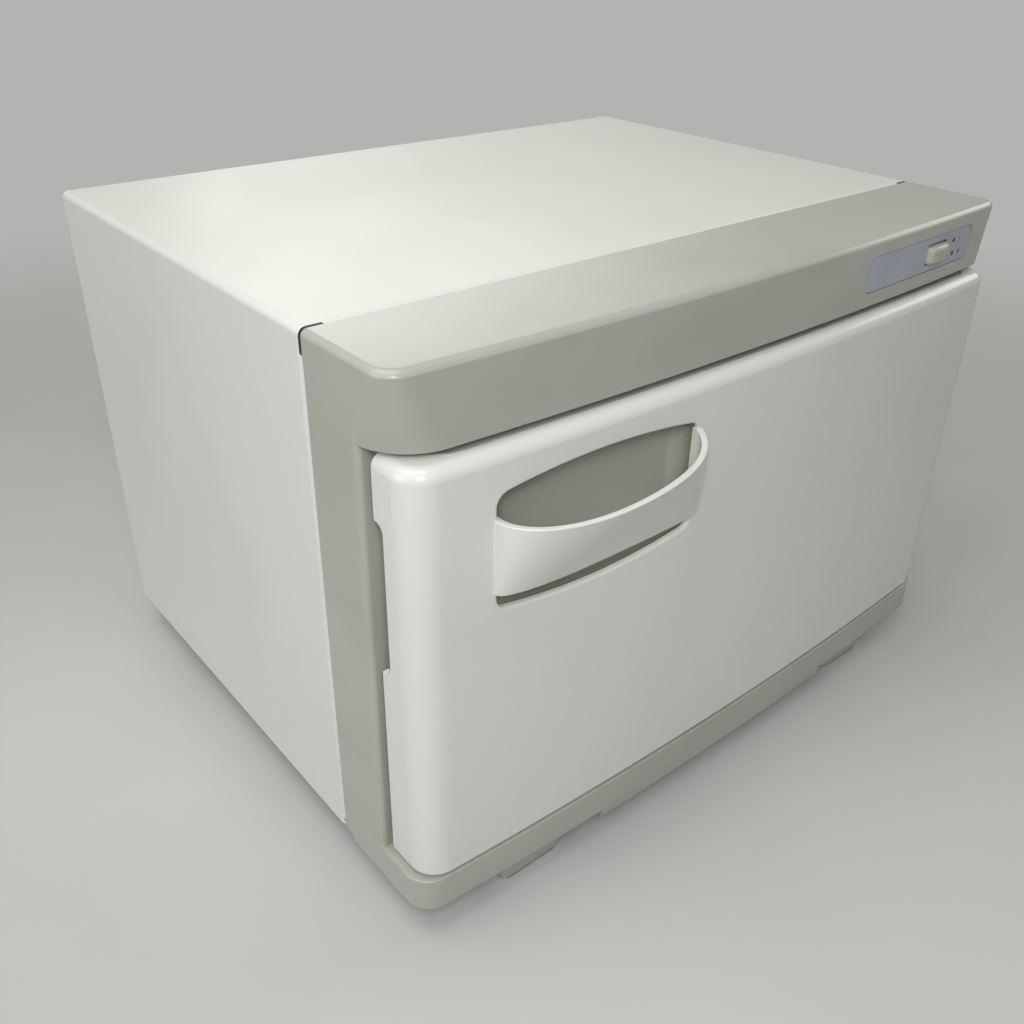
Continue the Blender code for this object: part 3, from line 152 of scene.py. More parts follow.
paper, tree, shader = new_finish("floor_paper", 0.85)
tint(tree, shader, cloud(tree, FLOOR_PATCH), *FLOOR_GREYS)
away = node_output(tree, "ShaderNodeVectorMath", {0: place_on_piece(tree, 1.0)}, "Value",
                   operation="LENGTH")
fade = smooth_range(tree, away, FLOOR_FADE, 1.0, 0.0)
tree.links.new(fade, shader.inputs["Alpha"])
bm = bmesh.new()
bmesh.ops.create_circle(bm, cap_ends=True, segments=FLOOR_SIDES, radius=FLOOR_RADIUS)
floor = link_piece("floor", bm, paper)

# Studio light
# Soft boxes: one overhead, one far out on the left, a small strong one by the front left corner with a
# glint before it, and one on the right that glints on the door's upper edge. Two behind light the back;
# the upper one fades along its length, as the header's top mirrors it, and two leave no mirror image.
ROOM_COLOUR = (1.0, 0.985, 0.94)
ROOM_STRENGTH = 0.12
BACKDROP_COLOUR = (0.45, 0.45, 0.44)
AIM = Vector((0, seam, 0.12))
LAMPS = {
    "overhead_box": ((-0.35, 0.05, 1.25), (0.9, 0.9), 6.2, (1.0, 0.985, 0.92)),
    "side_box": ((-1.40, 0.10, 0.60), (0.9, 0.9), 3.7, (0.96, 0.99, 1.0)),
    "corner_box": ((-0.45, -0.52, 0.62), (0.35, 0.35), 2.2, (0.96, 0.98, 1.0)),
    "glint_box": ((-0.43, -0.50, 0.59), (0.20, 0.20), 0.8, (0.96, 0.98, 1.0)),
    "right_box": ((1.45, -0.25, 0.85), (0.7, 0.4), 2.0, (1.0, 0.985, 0.92)),
    "rear_box": ((1.43, 1.34, 0.95), (2.2, 0.45), 3.2, (1.0, 0.985, 0.92)),
    "back_box": ((0.90, 1.10, 0.12), (1.0, 0.20), 6.0, (1.0, 0.99, 0.97)),
}
UNMIRRORED = ("corner_box", "back_box")
REAR_FADE = (0.25, 1.0)
REAR_STRENGTH = 2.4

world = bpy.data.worlds.new("pale_room")
world.use_nodes = True
scene.world = world
tree = world.node_tree
room = tree.nodes["Background"]
room.inputs["Color"].default_value = (*ROOM_COLOUR, 1.0)
room.inputs["Strength"].default_value = ROOM_STRENGTH
backdrop = node_output(tree, "ShaderNodeBackground", {"Color": (*BACKDROP_COLOUR, 1.0)})
rays = tree.nodes.new("ShaderNodeLightPath").outputs
seen = rays["Is Camera Ray"]
for ray in ("Is Glossy Ray", "Is Transmission Ray"):
    seen = node_output(tree, "ShaderNodeMath", {0: seen, 1: rays[ray]}, operation="MAXIMUM")
mix = node_output(tree, "ShaderNodeMixShader", {"Fac": seen, 1: room.outputs["Background"], 2: backdrop})
tree.links.new(mix, tree.nodes["World Output"].inputs["Surface"])

for name, (place, size, power, colour) in LAMPS.items():
    lamp = bpy.data.lights.new(name, "AREA")
    lamp.shape = "RECTANGLE"
    lamp.size, lamp.size_y = size
    lamp.energy = power
    lamp.color = colour
    stand = bpy.data.objects.new(name, lamp)
    stand.location = place
    stand.rotation_euler = (AIM - Vector(place)).to_track_quat("-Z", "Y").to_euler()
    stand.visible_camera = False
    stand.visible_glossy = name not in UNMIRRORED
    scene.collection.objects.link(stand)

rear_lamp = bpy.data.lights["rear_box"]
rear_lamp.use_nodes = True
tree = rear_lamp.node_tree
spot = node_output(tree, "ShaderNodeNewGeometry", give="Parametric")
along = node_output(tree, "ShaderNodeSeparateXYZ", {"Vector": spot}, "X")
fade = smooth_range(tree, along, REAR_FADE, 0.0, REAR_STRENGTH)
tree.links.new(fade, tree.nodes["Emission"].inputs["Strength"])

# Casing
# The outer wrap is one sheet of steel, bent over the top and down both sides and stoved in white
# enamel. Its front edge is rolled in over the frame's lip, its rear edge is turned in as a flange
# for the back panel, and a relief cut at each front corner lets the sheet bend there.
SHEET = 0.0010
CASE_BEND = 0.0030
BOTTOM_FLANGE = 0.012
REAR_FLANGE = 0.010
ROLLED_EDGE = ((0.00095, 0.0), (0.00076, 0.0003), (0.00042, 0.0015), (0.00008, 0.0027), (0.0, 0.0032))
RELIEF_LEG = 0.009
RELIEF_WIDTH = 0.0021
LOWER_RELIEF = (0.0015, 0.0040)
LOWER_RELIEF_DEPTH = 0.0020
FLANGE_SKIN = 0.0004
FLANGE_FOOT = 0.0040
FLANGE_INSET = 0.0001
HOLE_RADIUS = 0.0017
HOLE_REACH = 0.0050
ROUND_STEPS = 24
BEND_STEPS = 10
SLIVER = 0.00002
SMOOTH_ANGLE = math.radians(35)
BEVEL_ANGLE = math.radians(38)
ENAMEL_WHITES = ((0.765, 0.76, 0.715), (0.80, 0.80, 0.765))
AGED_SPREAD = (0.25, 0.55)
ORANGE_PEEL = 0.0016

case_low, case_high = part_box("outer_case")
half, case_top, case_back = case_high.x, case_high.z, case_high.y


def gloss(tree, shader, value, low, high):
    """Roughness that runs from low to high with the value."""
    tree.links.new(smooth_range(tree, value, CLOUD_SPREAD, low, high), shader.inputs["Roughness"])


def relief(tree, shader, *layers):
    """Fine relief on the surface, from pairs of a value and its height in metres."""
    inputs = {}
    for value, height in layers:
        inputs.update({"Distance": height, "Height": value})
        inputs["Normal"] = node_output(tree, "ShaderNodeBump", inputs)
    tree.links.new(inputs["Normal"], shader.inputs["Normal"])


def loft(loops, closed=False):
    """Skin through a row of equal loops, with a cap on each end or joined round into a ring."""
    bm = bmesh.new()
    rings = [[bm.verts.new(point) for point in loop] for loop in loops]
    pairs = list(zip(rings, rings[1:]))
    if closed:
        pairs.append((rings[-1], rings[0]))
    else:
        bm.faces.new(rings[0])
        bm.faces.new(rings[-1])
    for lower, upper in pairs:
        for i in range(len(lower)):
            j = (i + 1) % len(lower)
            bm.faces.new((lower[i], lower[j], upper[j], upper[i]))
    bmesh.ops.recalc_face_normals(bm, faces=bm.faces)
    return bm


def level(points, z):
    return [(x, y, z) for x, y in points]


def upright(points, y):
    return [(x, y, z) for x, z in points]


def standing(points, low, high):
    """Upright prism on a plan in x and y."""
    return loft([level(points, low), level(points, high)])


def lying(points, near, far):
    """Prism along the depth on an outline in x and z."""
    return loft([upright(points, near), upright(points, far)])


def block(low, high):
    (x0, y0, z0), (x1, y1, z1) = low, high
    return standing([(x0, y0), (x1, y0), (x1, y1), (x0, y1)], z0, z1)


def circle(cx, cy, radius):
    turns = (2 * math.pi * i / ROUND_STEPS for i in range(ROUND_STEPS))
    return [(cx + radius * math.cos(turn), cy + radius * math.sin(turn)) for turn in turns]


def quarter_round(radius, steps):
    """Inset and rise along a quarter round, from its upright side to its flat top."""
    turns = [math.pi / 2 * i / steps for i in range(steps + 1)]
    return [(radius * (1 - math.cos(turn)), radius * math.sin(turn)) for turn in turns]


def built_mesh(piece):
    """Mesh that an object's modifiers or its curve make."""
    return bpy.data.meshes.new_from_object(piece.evaluated_get(bpy.context.evaluated_depsgraph_get()))


def carve(piece, bm, operation="DIFFERENCE"):
    """Cut a shape out of a piece, or weld it on with UNION."""
    tool = link_piece("carving_tool", bm, piece.data.materials[0])
    modifier = piece.modifiers.new("carve", "BOOLEAN")
    modifier.operation = operation
    modifier.solver = "EXACT"
    modifier.object = tool
    carved = built_mesh(piece)
    piece.modifiers.remove(modifier)
    piece.data = carved
    bpy.data.objects.remove(tool)


def merge(piece, slivers):
    """Merge points that lie on each other, and slivers of faces if asked, and shade the piece smooth."""
    bm = bmesh.new()
    bm.from_mesh(piece.data)
    bmesh.ops.remove_doubles(bm, verts=bm.verts, dist=SLIVER)
    if slivers:
        bmesh.ops.dissolve_degenerate(bm, edges=bm.edges, dist=SLIVER)
    bm.to_mesh(piece.data)
    bm.free()
    piece.data.shade_smooth()


def shade(piece, angle=SMOOTH_ANGLE):
    """Clear up what carving leaves, and shade all but the sharp edges smooth."""
    merge(piece, slivers=True)
    piece.data.set_sharp_from_angle(angle=angle)
    even = piece.modifiers.new("even_shading", "WEIGHTED_NORMAL")
    even.keep_sharp = True


def soften(piece, width, segments=2, angle=BEVEL_ANGLE):
    """Round a piece's sharp edges and shade the rest smooth."""
    merge(piece, slivers=False)
    bevel = piece.modifiers.new("rounded_edges", "BEVEL")
    bevel.width = width
    bevel.segments = segments
    bevel.limit_method = "ANGLE"
    bevel.angle_limit = angle
    bevel.use_clamp_overlap = False
    bevel.harden_normals = True


def fit(piece, body, slot, *nodes):
    """Hang a finished piece on its body in place of its CAD nodes."""
    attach(piece, body)
    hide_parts(*nodes)


def middle_of(node):
    low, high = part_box(node)
    return (low + high) / 2


def round_bend(inset):
    """Round the right upper bend at that depth in the sheet, from the side to the top."""
    bend, edge, crown = CASE_BEND - inset, half - inset, case_top - inset
    return [(edge - shift, crown - bend + rise) for shift, rise in quarter_round(bend, BEND_STEPS)]


def wrap(inset):
    """Section of the wrap in x and z, from its left lower flange over the top to the right one."""
    low = case_low.z + inset
    right_side = [(half - BOTTOM_FLANGE, low), (half - inset, low)] + round_bend(inset)
    return [(-x, z) for x, z in right_side] + right_side[::-1]


enamel, tree, shader = new_finish("white_enamel", 0.36)
tint(tree, shader, cloud(tree, 0.16), *ENAMEL_WHITES, AGED_SPREAD)
gloss(tree, shader, cloud(tree, 0.05, detail=1.0), 0.34, 0.38)
relief(tree, shader, (cloud(tree, ORANGE_PEEL, detail=1.0), 0.000010))

rows = [(inset, case_low.y + depth) for inset, depth in ROLLED_EDGE] + [(0.0, case_back)]
sheet = loft([upright(wrap(inset) + wrap(SHEET)[::-1], y) for inset, y in rows])
casing = link_piece("casing", sheet, enamel)
flange_x, flange_z = half - FLANGE_SKIN, case_top - FLANGE_SKIN
turned_in = [(flange_x - CASE_BEND, flange_z), (flange_x, flange_z - CASE_BEND),
             (flange_x, case_low.z + FLANGE_FOOT), (half - REAR_FLANGE, case_low.z + FLANGE_FOOT),
             (half - REAR_FLANGE, case_top - REAR_FLANGE)]
turned_in += [(-x, z) for x, z in reversed(turned_in)]
carve(casing, lying(turned_in, case_back - SHEET, case_back - FLANGE_INSET), "UNION")
reliefs = ((RELIEF_LEG, case_top - RELIEF_LEG, case_top + SHEET),
           (LOWER_RELIEF_DEPTH, case_low.z + LOWER_RELIEF[0], case_low.z + LOWER_RELIEF[1]))
for side in (-1, 1):
    for depth, low, high in reliefs:
        x_in, x_out = sorted((side * (half - depth), side * (half + SHEET)))
        carve(casing, block((x_in, seam - RELIEF_WIDTH, low), (x_out, seam + RELIEF_WIDTH, high)))
for number in range(1, 7):
    place = middle_of(f"rear_screw_{number}")
    hole = circle(place.x, place.z, HOLE_RADIUS)
    carve(casing, lying(hole, case_back - HOLE_REACH, case_back + HOLE_REACH))
for number in range(1, 5):
    place = middle_of(f"base_screw_{number}")
    hole = circle(place.x, place.y, HOLE_RADIUS)
    carve(casing, standing(hole, case_low.z - HOLE_REACH, case_low.z + 2 * SHEET))
shade(casing)
fit(casing, "cabinet", "white_paint", "outer_case")

# Corner beads of painted shade
# A near-black bead fills the relief cut at each of the casing's front corners: painted shade that
# stands in for the dark of the deep gap there. It sits just under the sheet's face, with a dull skin.
BEAD_SINK = 0.00015
GAP_SHADE_BLACKS = ((0.014, 0.014, 0.014), (0.030, 0.029, 0.028))


def patchy(name, colour, sheen, grain, metallic=0.0):
    """Finish from a patch size and two colours, another and two roughnesses, and a grain and its height."""
    finish, tree, shader = new_finish(name, sheen[1], metallic)
    tint(tree, shader, cloud(tree, colour[0]), *colour[1:])
    gloss(tree, shader, cloud(tree, sheen[0]), *sheen[1:])
    relief(tree, shader, (cloud(tree, grain[0]), grain[1]))
    return finish


def over_corner(inset, side):
    """Along the relief at that depth in the sheet, from its end on the side to its end on the top."""
    ends = (half - inset, case_top - RELIEF_LEG), (half - RELIEF_LEG, case_top - inset)
    return [(side * x, z) for x, z in [ends[0], *round_bend(inset), ends[1]]]


# Near-black painted shade for the gap at each front corner.
gap_shade_finish = patchy("painted_gap_shade", (0.002, *GAP_SHADE_BLACKS), (0.001, 0.5, 0.7), (0.0008, 0.00003))
for side, word in ((-1, "left"), (1, "right")):
    section = over_corner(BEAD_SINK, side) + over_corner(SHEET, side)[::-1]
    bead = link_piece(f"corner_gap_shade_{word}", lying(section, seam + BEAD_SINK, seam + RELIEF_WIDTH), gap_shade_finish)
    shade(bead)
    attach(bead, "cabinet")

# Back panel and base pan
# The back is a shallow white tray pushed inside the rear flange, and the base a shallow pan of zinc-
# coated sheet laid inside the lower flanges. The zinc shows its crystal spangle.
ZINC_GREYS = ((0.43, 0.44, 0.46), (0.66, 0.67, 0.68))
SPANGLE = 0.009
SAME_POINT = 1e-6
FLAT_ANGLE = math.radians(0.4)


def whole_copy(name, node, finish):
    """Copy of a CAD node whose loose triangles are merged back into whole faces."""
    bm = bmesh.new()
    bm.from_mesh(frame["nodes"][node].data)
    bmesh.ops.remove_doubles(bm, verts=bm.verts, dist=SAME_POINT)
    bmesh.ops.dissolve_limit(bm, angle_limit=FLAT_ANGLE, verts=bm.verts, edges=bm.edges)
    return link_piece(name, bm, finish)


def spangle(tree, size):
    """Flat crystals of zinc, each with its own value."""
    inputs = {"Scale": 1.0, "Vector": place_on_piece(tree, size)}
    crystal = node_output(tree, "ShaderNodeTexVoronoi", inputs, "Color")
    return node_output(tree, "ShaderNodeSeparateColor", {"Color": crystal}, "Red")


panel = whole_copy("back_panel", "rear_panel", enamel)
shade(panel)
fit(panel, "cabinet", "white_paint", "rear_panel")

zinc, tree, shader = new_finish("zinc_coat", 0.45, 1.0)
tint(tree, shader, spangle(tree, SPANGLE), *ZINC_GREYS, (0.0, 1.0))
gloss(tree, shader, cloud(tree, 0.004), 0.36, 0.54)
relief(tree, shader, (cloud(tree, 0.002), 0.000008))
pan = whole_copy("base_pan", "base_plate", zinc)
shade(pan)
fit(pan, "cabinet", "galvanised", "base_plate")

# Cord gland
# A round bush of black plastic pressed through the back panel, where the mains lead goes in.
# It is moulded with a fine spark-eroded grain.
MOULDED_BLACKS = ((0.016, 0.016, 0.017), (0.030, 0.030, 0.031))


def softened_copy(name, node, finish, body, slot, width, segments=2):
    """Finished copy of a CAD node, in its place, with its edges rounded to that width."""
    piece = whole_copy(name, node, finish)
    soften(piece, width, segments)
    fit(piece, body, slot, node)


black_plastic = patchy("black_moulding", (0.01, *MOULDED_BLACKS), (0.006, 0.42, 0.58),
                       (0.0004, 0.000015))
softened_copy("lead_bush", "cord_gland", black_plastic, "cabinet", "black_plastic", 0.0005, 3)

# Sheet-metal screws
# Pan-head steel screws with a cross recess, driven through the back flange, the lower flanges and
# the door's lining. One tree makes every head and stub of shank, each turned as it was left.
SCREW_HEAD_RADIUS = 0.0030
SCREW_HEAD_HEIGHT = 0.0015
SCREW_SHANK_RADIUS = 0.0013
SCREW_SHANK_LENGTH = 0.0032
RECESS_LENGTH = 0.0032
RECESS_WIDTH = 0.0007
RECESS_DEPTH = 0.0009
SCREW_SEED = 4
HEAD_SIDES, HEAD_RINGS, SHANK_SIDES = 28, 14, 16
SHANK_SINK = -0.45
SCREW_EDGE = 0.00012
SCREW_EDGE_ANGLE = math.radians(50)
STEEL_GREYS = ((0.50, 0.50, 0.50), (0.60, 0.60, 0.59))

steel, tree, shader = new_finish("plated_steel", 0.3, 1.0)
tint(tree, shader, cloud(tree, 0.003), *STEEL_GREYS)
gloss(tree, shader, cloud(tree, 0.0015), 0.28, 0.36)
relief(tree, shader, (cloud(tree, 0.0005, detail=1.0), 0.000003))


def new_tree(name, sizes):
    """Geometry tree with one mesh input and a named length for each size, and its sockets."""
    group = bpy.data.node_groups.new(name, "GeometryNodeTree")
    group.interface.new_socket("Geometry", in_out="INPUT", socket_type="NodeSocketGeometry")
    group.interface.new_socket("Geometry", in_out="OUTPUT", socket_type="NodeSocketGeometry")
    keys = {}
    for label in sizes:
        socket = group.interface.new_socket(label, in_out="INPUT", socket_type="NodeSocketFloat")
        keys[label] = socket.identifier
    return group, group.nodes.new("NodeGroupInput"), group.nodes.new("NodeGroupOutput"), keys


def end_tree(group, geometry, end, finish):
    """Close a tree with Realize Instances and Set Material."""
    realized = node_output(group, "GeometryNodeRealizeInstances", {"Geometry": geometry})
    painted = node_output(group, "GeometryNodeSetMaterial", {"Geometry": realized, "Material": finish})
    group.links.new(painted, end.inputs["Geometry"])


def grown(name, guide, group, keys, sizes):
    """Plain mesh object that a tree makes on a guide mesh."""
    piece = bpy.data.objects.new(name, guide)
    scene.collection.objects.link(piece)
    modifier = piece.modifiers.new(name, "NODES")
    modifier.node_group = group
    for label, size in sizes.items():
        modifier[keys[label]] = size
    mesh = built_mesh(piece)
    piece.modifiers.remove(modifier)
    piece.data = mesh
    return piece


def combine(group, **parts):
    """Vector socket from sockets for X, Y and Z."""
    return node_output(group, "ShaderNodeCombineXYZ", parts)


def scaled(group, value, factor):
    return node_output(group, "ShaderNodeMath", {0: value, 1: factor}, operation="MULTIPLY")


def moved(group, geometry, shift):
    return node_output(group, "GeometryNodeTransform", {"Geometry": geometry, "Translation": shift})


def box_of(group, across, deep, tall):
    return node_output(group, "GeometryNodeMeshCube", {"Size": combine(group, X=across, Y=deep, Z=tall)})


screw_sizes = {"Head Radius": SCREW_HEAD_RADIUS, "Head Height": SCREW_HEAD_HEIGHT,
               "Shank Radius": SCREW_SHANK_RADIUS, "Shank Length": SCREW_SHANK_LENGTH,
               "Recess Length": RECESS_LENGTH, "Recess Width": RECESS_WIDTH, "Recess Depth": RECESS_DEPTH}
screw_tree, start, end, screw_keys = new_tree("pan_head_screws", screw_sizes)
(head_radius, head_height, shank_radius, shank_length,
 recess_length, recess_width, recess_depth) = (start.outputs[label] for label in screw_sizes)
dome = node_output(screw_tree, "GeometryNodeMeshUVSphere",
                   {"Segments": HEAD_SIDES, "Rings": HEAD_RINGS, "Radius": 1.0})
head_size = combine(screw_tree, X=head_radius, Y=head_radius, Z=head_height)
squat = node_output(screw_tree, "GeometryNodeTransform", {"Geometry": dome, "Scale": head_size})
across = scaled(screw_tree, head_radius, 3.0)
under = box_of(screw_tree, across, across, scaled(screw_tree, head_height, 2.0))
cutters = [moved(screw_tree, under, combine(screw_tree, Z=scaled(screw_tree, head_height, -1.0)))]
for length, width in ((recess_length, recess_width), (recess_width, recess_length)):
    bar = box_of(screw_tree, length, width, scaled(screw_tree, recess_depth, 2.0))
    cutters.append(moved(screw_tree, bar, combine(screw_tree, Z=head_height)))
head = node_output(screw_tree, "GeometryNodeMeshBoolean", {"Mesh 1": squat, "Mesh 2": cutters},
                   operation="DIFFERENCE", solver="EXACT")
shank = node_output(screw_tree, "GeometryNodeMeshCylinder",
                    {"Vertices": SHANK_SIDES, "Radius": shank_radius, "Depth": shank_length})
lowered = moved(screw_tree, shank, combine(screw_tree, Z=scaled(screw_tree, shank_length, SHANK_SINK)))
one_screw = node_output(screw_tree, "GeometryNodeMeshBoolean", {"Mesh 2": [head, lowered]},
                        operation="UNION", solver="EXACT")
facing = node_output(screw_tree, "GeometryNodeInputNamedAttribute", {"Name": "facing"}, "Attribute",
                     data_type="FLOAT_VECTOR")
turned = node_output(screw_tree, "FunctionNodeAlignRotationToVector", {"Vector": facing}, axis="Z")
chance = node_output(screw_tree, "FunctionNodeRandomValue", {"Max": math.pi, "Seed": SCREW_SEED}, 1)
spin = node_output(screw_tree, "FunctionNodeRotateRotation",
                   {"Rotation": turned, "Rotate By": combine(screw_tree, Z=chance)}, rotation_space="LOCAL")
points = node_output(screw_tree, "GeometryNodeInstanceOnPoints",
                     {"Points": start.outputs["Geometry"], "Instance": one_screw, "Rotation": spin})
end_tree(screw_tree, points, end, steel)


def screws(name, rows, body):
    """Screws in place of CAD nodes; each row is a stem, a count and the way the heads face."""
    seats, ways, replaced = [], [], []
    for stem, count, way in rows:
        for number in range(1, count + 1):
            node = f"{stem}_{number}"
            low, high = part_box(node)
            tip = Vector([high[i] if way[i] > 0 else low[i] for i in range(3)])
            seat = (low + high) / 2
            for i in range(3):
                if way[i]:
                    seat[i] = tip[i] - way[i] * SCREW_HEAD_HEIGHT
            seats.append(seat)
            ways.append(way)
            replaced.append(node)
    guide = bpy.data.meshes.new(name)
    guide.from_pydata(seats, [], [])
    arrows = guide.attributes.new("facing", "FLOAT_VECTOR", "POINT")
    for slot, way in zip(arrows.data, ways):
        slot.vector = way
    piece = grown(name, guide, screw_tree, screw_keys, screw_sizes)
    soften(piece, SCREW_EDGE, angle=SCREW_EDGE_ANGLE)
    fit(piece, body, "steel", *replaced)


screws("casing_screws", [("rear_screw", 6, (0, 1, 0)), ("base_screw", 4, (0, 0, -1))], "cabinet")

# Front frame
# One large moulding in warm grey plastic with a polished face: a deep bowed header, two stiles and a
# lower rail round the opening. A lip behind it slides inside the casing.
FRAME_WALL = 0.0030
BOW_RADIUS = 2.744
FRONT_CORNERS = (0.0120, 0.0120)
HEADER_REACH = 0.0530
HEADER_HEIGHT = 0.0298
HEADER_BEND = 0.0026
HEADER_CREASE = 0.0020
HEADER_CROWN = 0.0036
HEADER_CREASE_LIP = 0.00013
HEADER_LOWER_EDGE = 0.0008
HEADER_TOP_CORNERS = (0.0100, 0.0070)
HEADER_LOW_CORNERS = (0.0240, 0.0120)
STILE_REACH = 0.0295
STILE_FILLET = 0.0025
RAIL_REACH = 0.0620
RAIL_LOW, RAIL_HIGH = 0.0150, 0.0321
RAIL_FILLET = 0.0015
RAIL_TOP_EDGE = 0.0007
RAIL_START = 0.0060
SKIRT_HALF = 0.080
SKIRT_DROP = 0.0028
SKIRT_DEPTH = 0.014
SKIRT_INSET = 0.0003
LIP_DEPTH = 0.008
LIP_WALL = 0.0020
LIP_INSET = 0.0013
LIP_CHAMFER = 0.0040
LIP_LOW = 0.0244
OPENING_HALF = 0.140
OPENING_LOW, OPENING_HIGH = 0.050, 0.200
OPENING_RADIUS = 0.004
BUSH_HOLE = 0.0038
LABEL_LEFT, LABEL_RIGHT = 0.0632, 0.1536
LABEL_HEIGHT = 0.0155
LABEL_TOP_MARGIN = 0.00755
LABEL_RADIUS = 0.0052
LABEL_RECESS = 0.0012
LABEL_MARGIN = 0.0003
SWITCH_HOLE = (0.0101, 0.0067)
CORNER_STEPS = 14
BOW_STEPS = 48
EDGE_STEPS = 4
RAIL_STEPS = 5
WARM_GREYS = ((0.425, 0.430, 0.372), (0.465, 0.470, 0.412))

header_low = case_top - HEADER_HEIGHT
face_back = seam + FRAME_WALL - STILE_REACH
label_middle = case_top - LABEL_TOP_MARGIN - LABEL_HEIGHT / 2


def bow_y(x, reach):
    """Depth of a bowed front that reaches that far ahead of the seam."""
    return seam - reach + x * x / (2 * BOW_RADIUS)


def bowed_outline(half_width, reach, corners, back, bow=1 / BOW_RADIUS):
    """Plan from the left back corner, round the bowed front and its two corners, to the right back one."""
    sides, feet = [], []
    for corner in corners:
        turn = math.atan((half_width - corner) * bow)
        centre_x = corner - half_width
        foot_x = centre_x - corner * math.sin(turn)
        centre_y = seam - reach + foot_x * foot_x * bow / 2 + corner * math.cos(turn)
        side = [(-half_width, back)]
        for i in range(CORNER_STEPS + 1):
            angle = math.pi + (math.pi / 2 - turn) * i / CORNER_STEPS
            side.append((centre_x + corner * math.cos(angle), centre_y + corner * math.sin(angle)))
        sides.append(side)
        feet.append(foot_x)
    front = []
    for i in range(1, BOW_STEPS):
        x = feet[0] - (feet[0] + feet[1]) * i / BOW_STEPS
        front.append((x, seam - reach + x * x * bow / 2))
    return sides[0] + front + [(-x, y) for x, y in reversed(sides[1])]


def less(corners, inset):
    return [corner - inset for corner in corners]


def bowed_ring(half_width, reach, corners, back, z, inset):
    """Bowed plan at a height, drawn in by an inset from its sides and its front."""
    return level(bowed_outline(half_width - inset, reach - inset, less(corners, inset), back), z)


def rounded_rows(low, low_round, low_steps, high, high_round, high_steps):
    """Insets and heights up a wall whose lower and upper edges are rounded."""
    lower, upper = quarter_round(low_round, low_steps), quarter_round(high_round, high_steps)
    rows = [(inset, low + low_round - rise) for inset, rise in reversed(lower)]
    return rows + [(inset, high - high_round + rise) for inset, rise in upper]


def rounded_rect(x0, z0, x1, z1, radius, edge_steps=1):
    """Rectangle with round corners; edge_steps divides its two sides along x."""
    points = []
    corners = [(x1 - radius, z0 + radius, -90), (x1 - radius, z1 - radius, 0),
               (x0 + radius, z1 - radius, 90), (x0 + radius, z0 + radius, 180)]
    span = (x1 - x0) - 2 * radius
    for index, (cx, cz, first) in enumerate(corners):
        for i in range(CORNER_STEPS + 1):
            angle = math.radians(first + 90 * i / CORNER_STEPS)
            points.append((cx + radius * math.cos(angle), cz + radius * math.sin(angle)))
        shares = [span * i / edge_steps for i in range(1, edge_steps)]
        if index == 1:
            points += [(x1 - radius - share, z1) for share in shares]
        if index == 3:
            points += [(x0 + radius + share, z0) for share in shares]
    return points


def label_slab(grow, outside, inside):
    """Bowed slab with round corners, between two depths behind the header's face."""
    left, width = LABEL_LEFT - grow, LABEL_RIGHT - LABEL_LEFT + 2 * grow
    radius, half_height = LABEL_RADIUS + grow, LABEL_HEIGHT / 2 + grow
    ends = [(radius - rise, shift) for shift, rise in quarter_round(radius, CORNER_STEPS)][::-1]
    runs = ends + [(radius + (width - 2 * radius) * i / CORNER_STEPS, 0) for i in range(1, CORNER_STEPS)]
    runs += [(width - run, inset) for run, inset in reversed(ends)]
    columns = []
    for run, inset in runs:
        x, tall = left + run, half_height - inset
        ahead, behind = bow_y(x, HEADER_REACH - outside), bow_y(x, HEADER_REACH - inside)
        columns.append([(x, ahead, label_middle - tall), (x, ahead, label_middle + tall),
                        (x, behind, label_middle + tall), (x, behind, label_middle - tall)])
    return loft(columns)


def grey_moulding(name, grain):
    """Warm grey plastic: polished, with faint flow marks and a slight waviness."""
    finish, tree, shader = new_finish(name, 0.25)
    tint(tree, shader, cloud(tree, 0.09, (1, 1, 2)), *WARM_GREYS)
    gloss(tree, shader, cloud(tree, 0.05, detail=1.0), 0.23, 0.27)
    relief(tree, shader, (cloud(tree, 0.0007, detail=1.0), grain), (cloud(tree, 0.03, detail=0.0), 0.00003))
    shader.inputs["Coat Weight"].default_value = 0.25
    shader.inputs["Coat Roughness"].default_value = 0.08
    return finish


polished_grey = grey_moulding("polished_grey", 0.000003)
header = []
for inset, rise in reversed(quarter_round(HEADER_LOWER_EDGE, EDGE_STEPS)):
    z = header_low + HEADER_LOWER_EDGE - rise
    header.append(bowed_ring(half, HEADER_REACH, HEADER_LOW_CORNERS, seam, z, inset))
rows = [(0.0, HEADER_CREASE + 3 * HEADER_CREASE_LIP)]
for i in range(ROUND_STEPS + 1):
    share = i / ROUND_STEPS
    rows.append((HEADER_CREASE_LIP + HEADER_CROWN * share, HEADER_CREASE * (1 - share) ** 3))
for run, drop in rows:
    under = max(0.0, HEADER_BEND - drop)
    inset = HEADER_BEND - math.sqrt(HEADER_BEND ** 2 - under ** 2)
    ring = bowed_outline(half - inset, HEADER_REACH - run, less(HEADER_TOP_CORNERS, inset), seam)
    header.append(level(ring, case_top - drop))
moulding = link_piece("front_moulding", loft(header), polished_grey)
stile = bowed_outline(half, STILE_REACH, (STILE_FILLET, STILE_FILLET), seam, bow=0)
carve(moulding, standing(stile, case_low.z, case_top - HEADER_HEIGHT / 2), "UNION")
rail_back = seam - RAIL_START
rows = rounded_rows(RAIL_LOW, RAIL_FILLET, RAIL_STEPS, RAIL_HIGH, RAIL_TOP_EDGE, EDGE_STEPS)
rail = [bowed_ring(half, RAIL_REACH, FRONT_CORNERS, rail_back, z, inset) for inset, z in rows]
carve(moulding, loft(rail), "UNION")
skirt_xs = [SKIRT_HALF * (2 * i / BOW_STEPS - 1) for i in range(BOW_STEPS + 1)]
skirt = [(x, bow_y(x, RAIL_REACH - SKIRT_INSET)) for x in skirt_xs]
skirt += [(x, seam + SKIRT_DEPTH - RAIL_REACH) for x in (SKIRT_HALF, -SKIRT_HALF)]
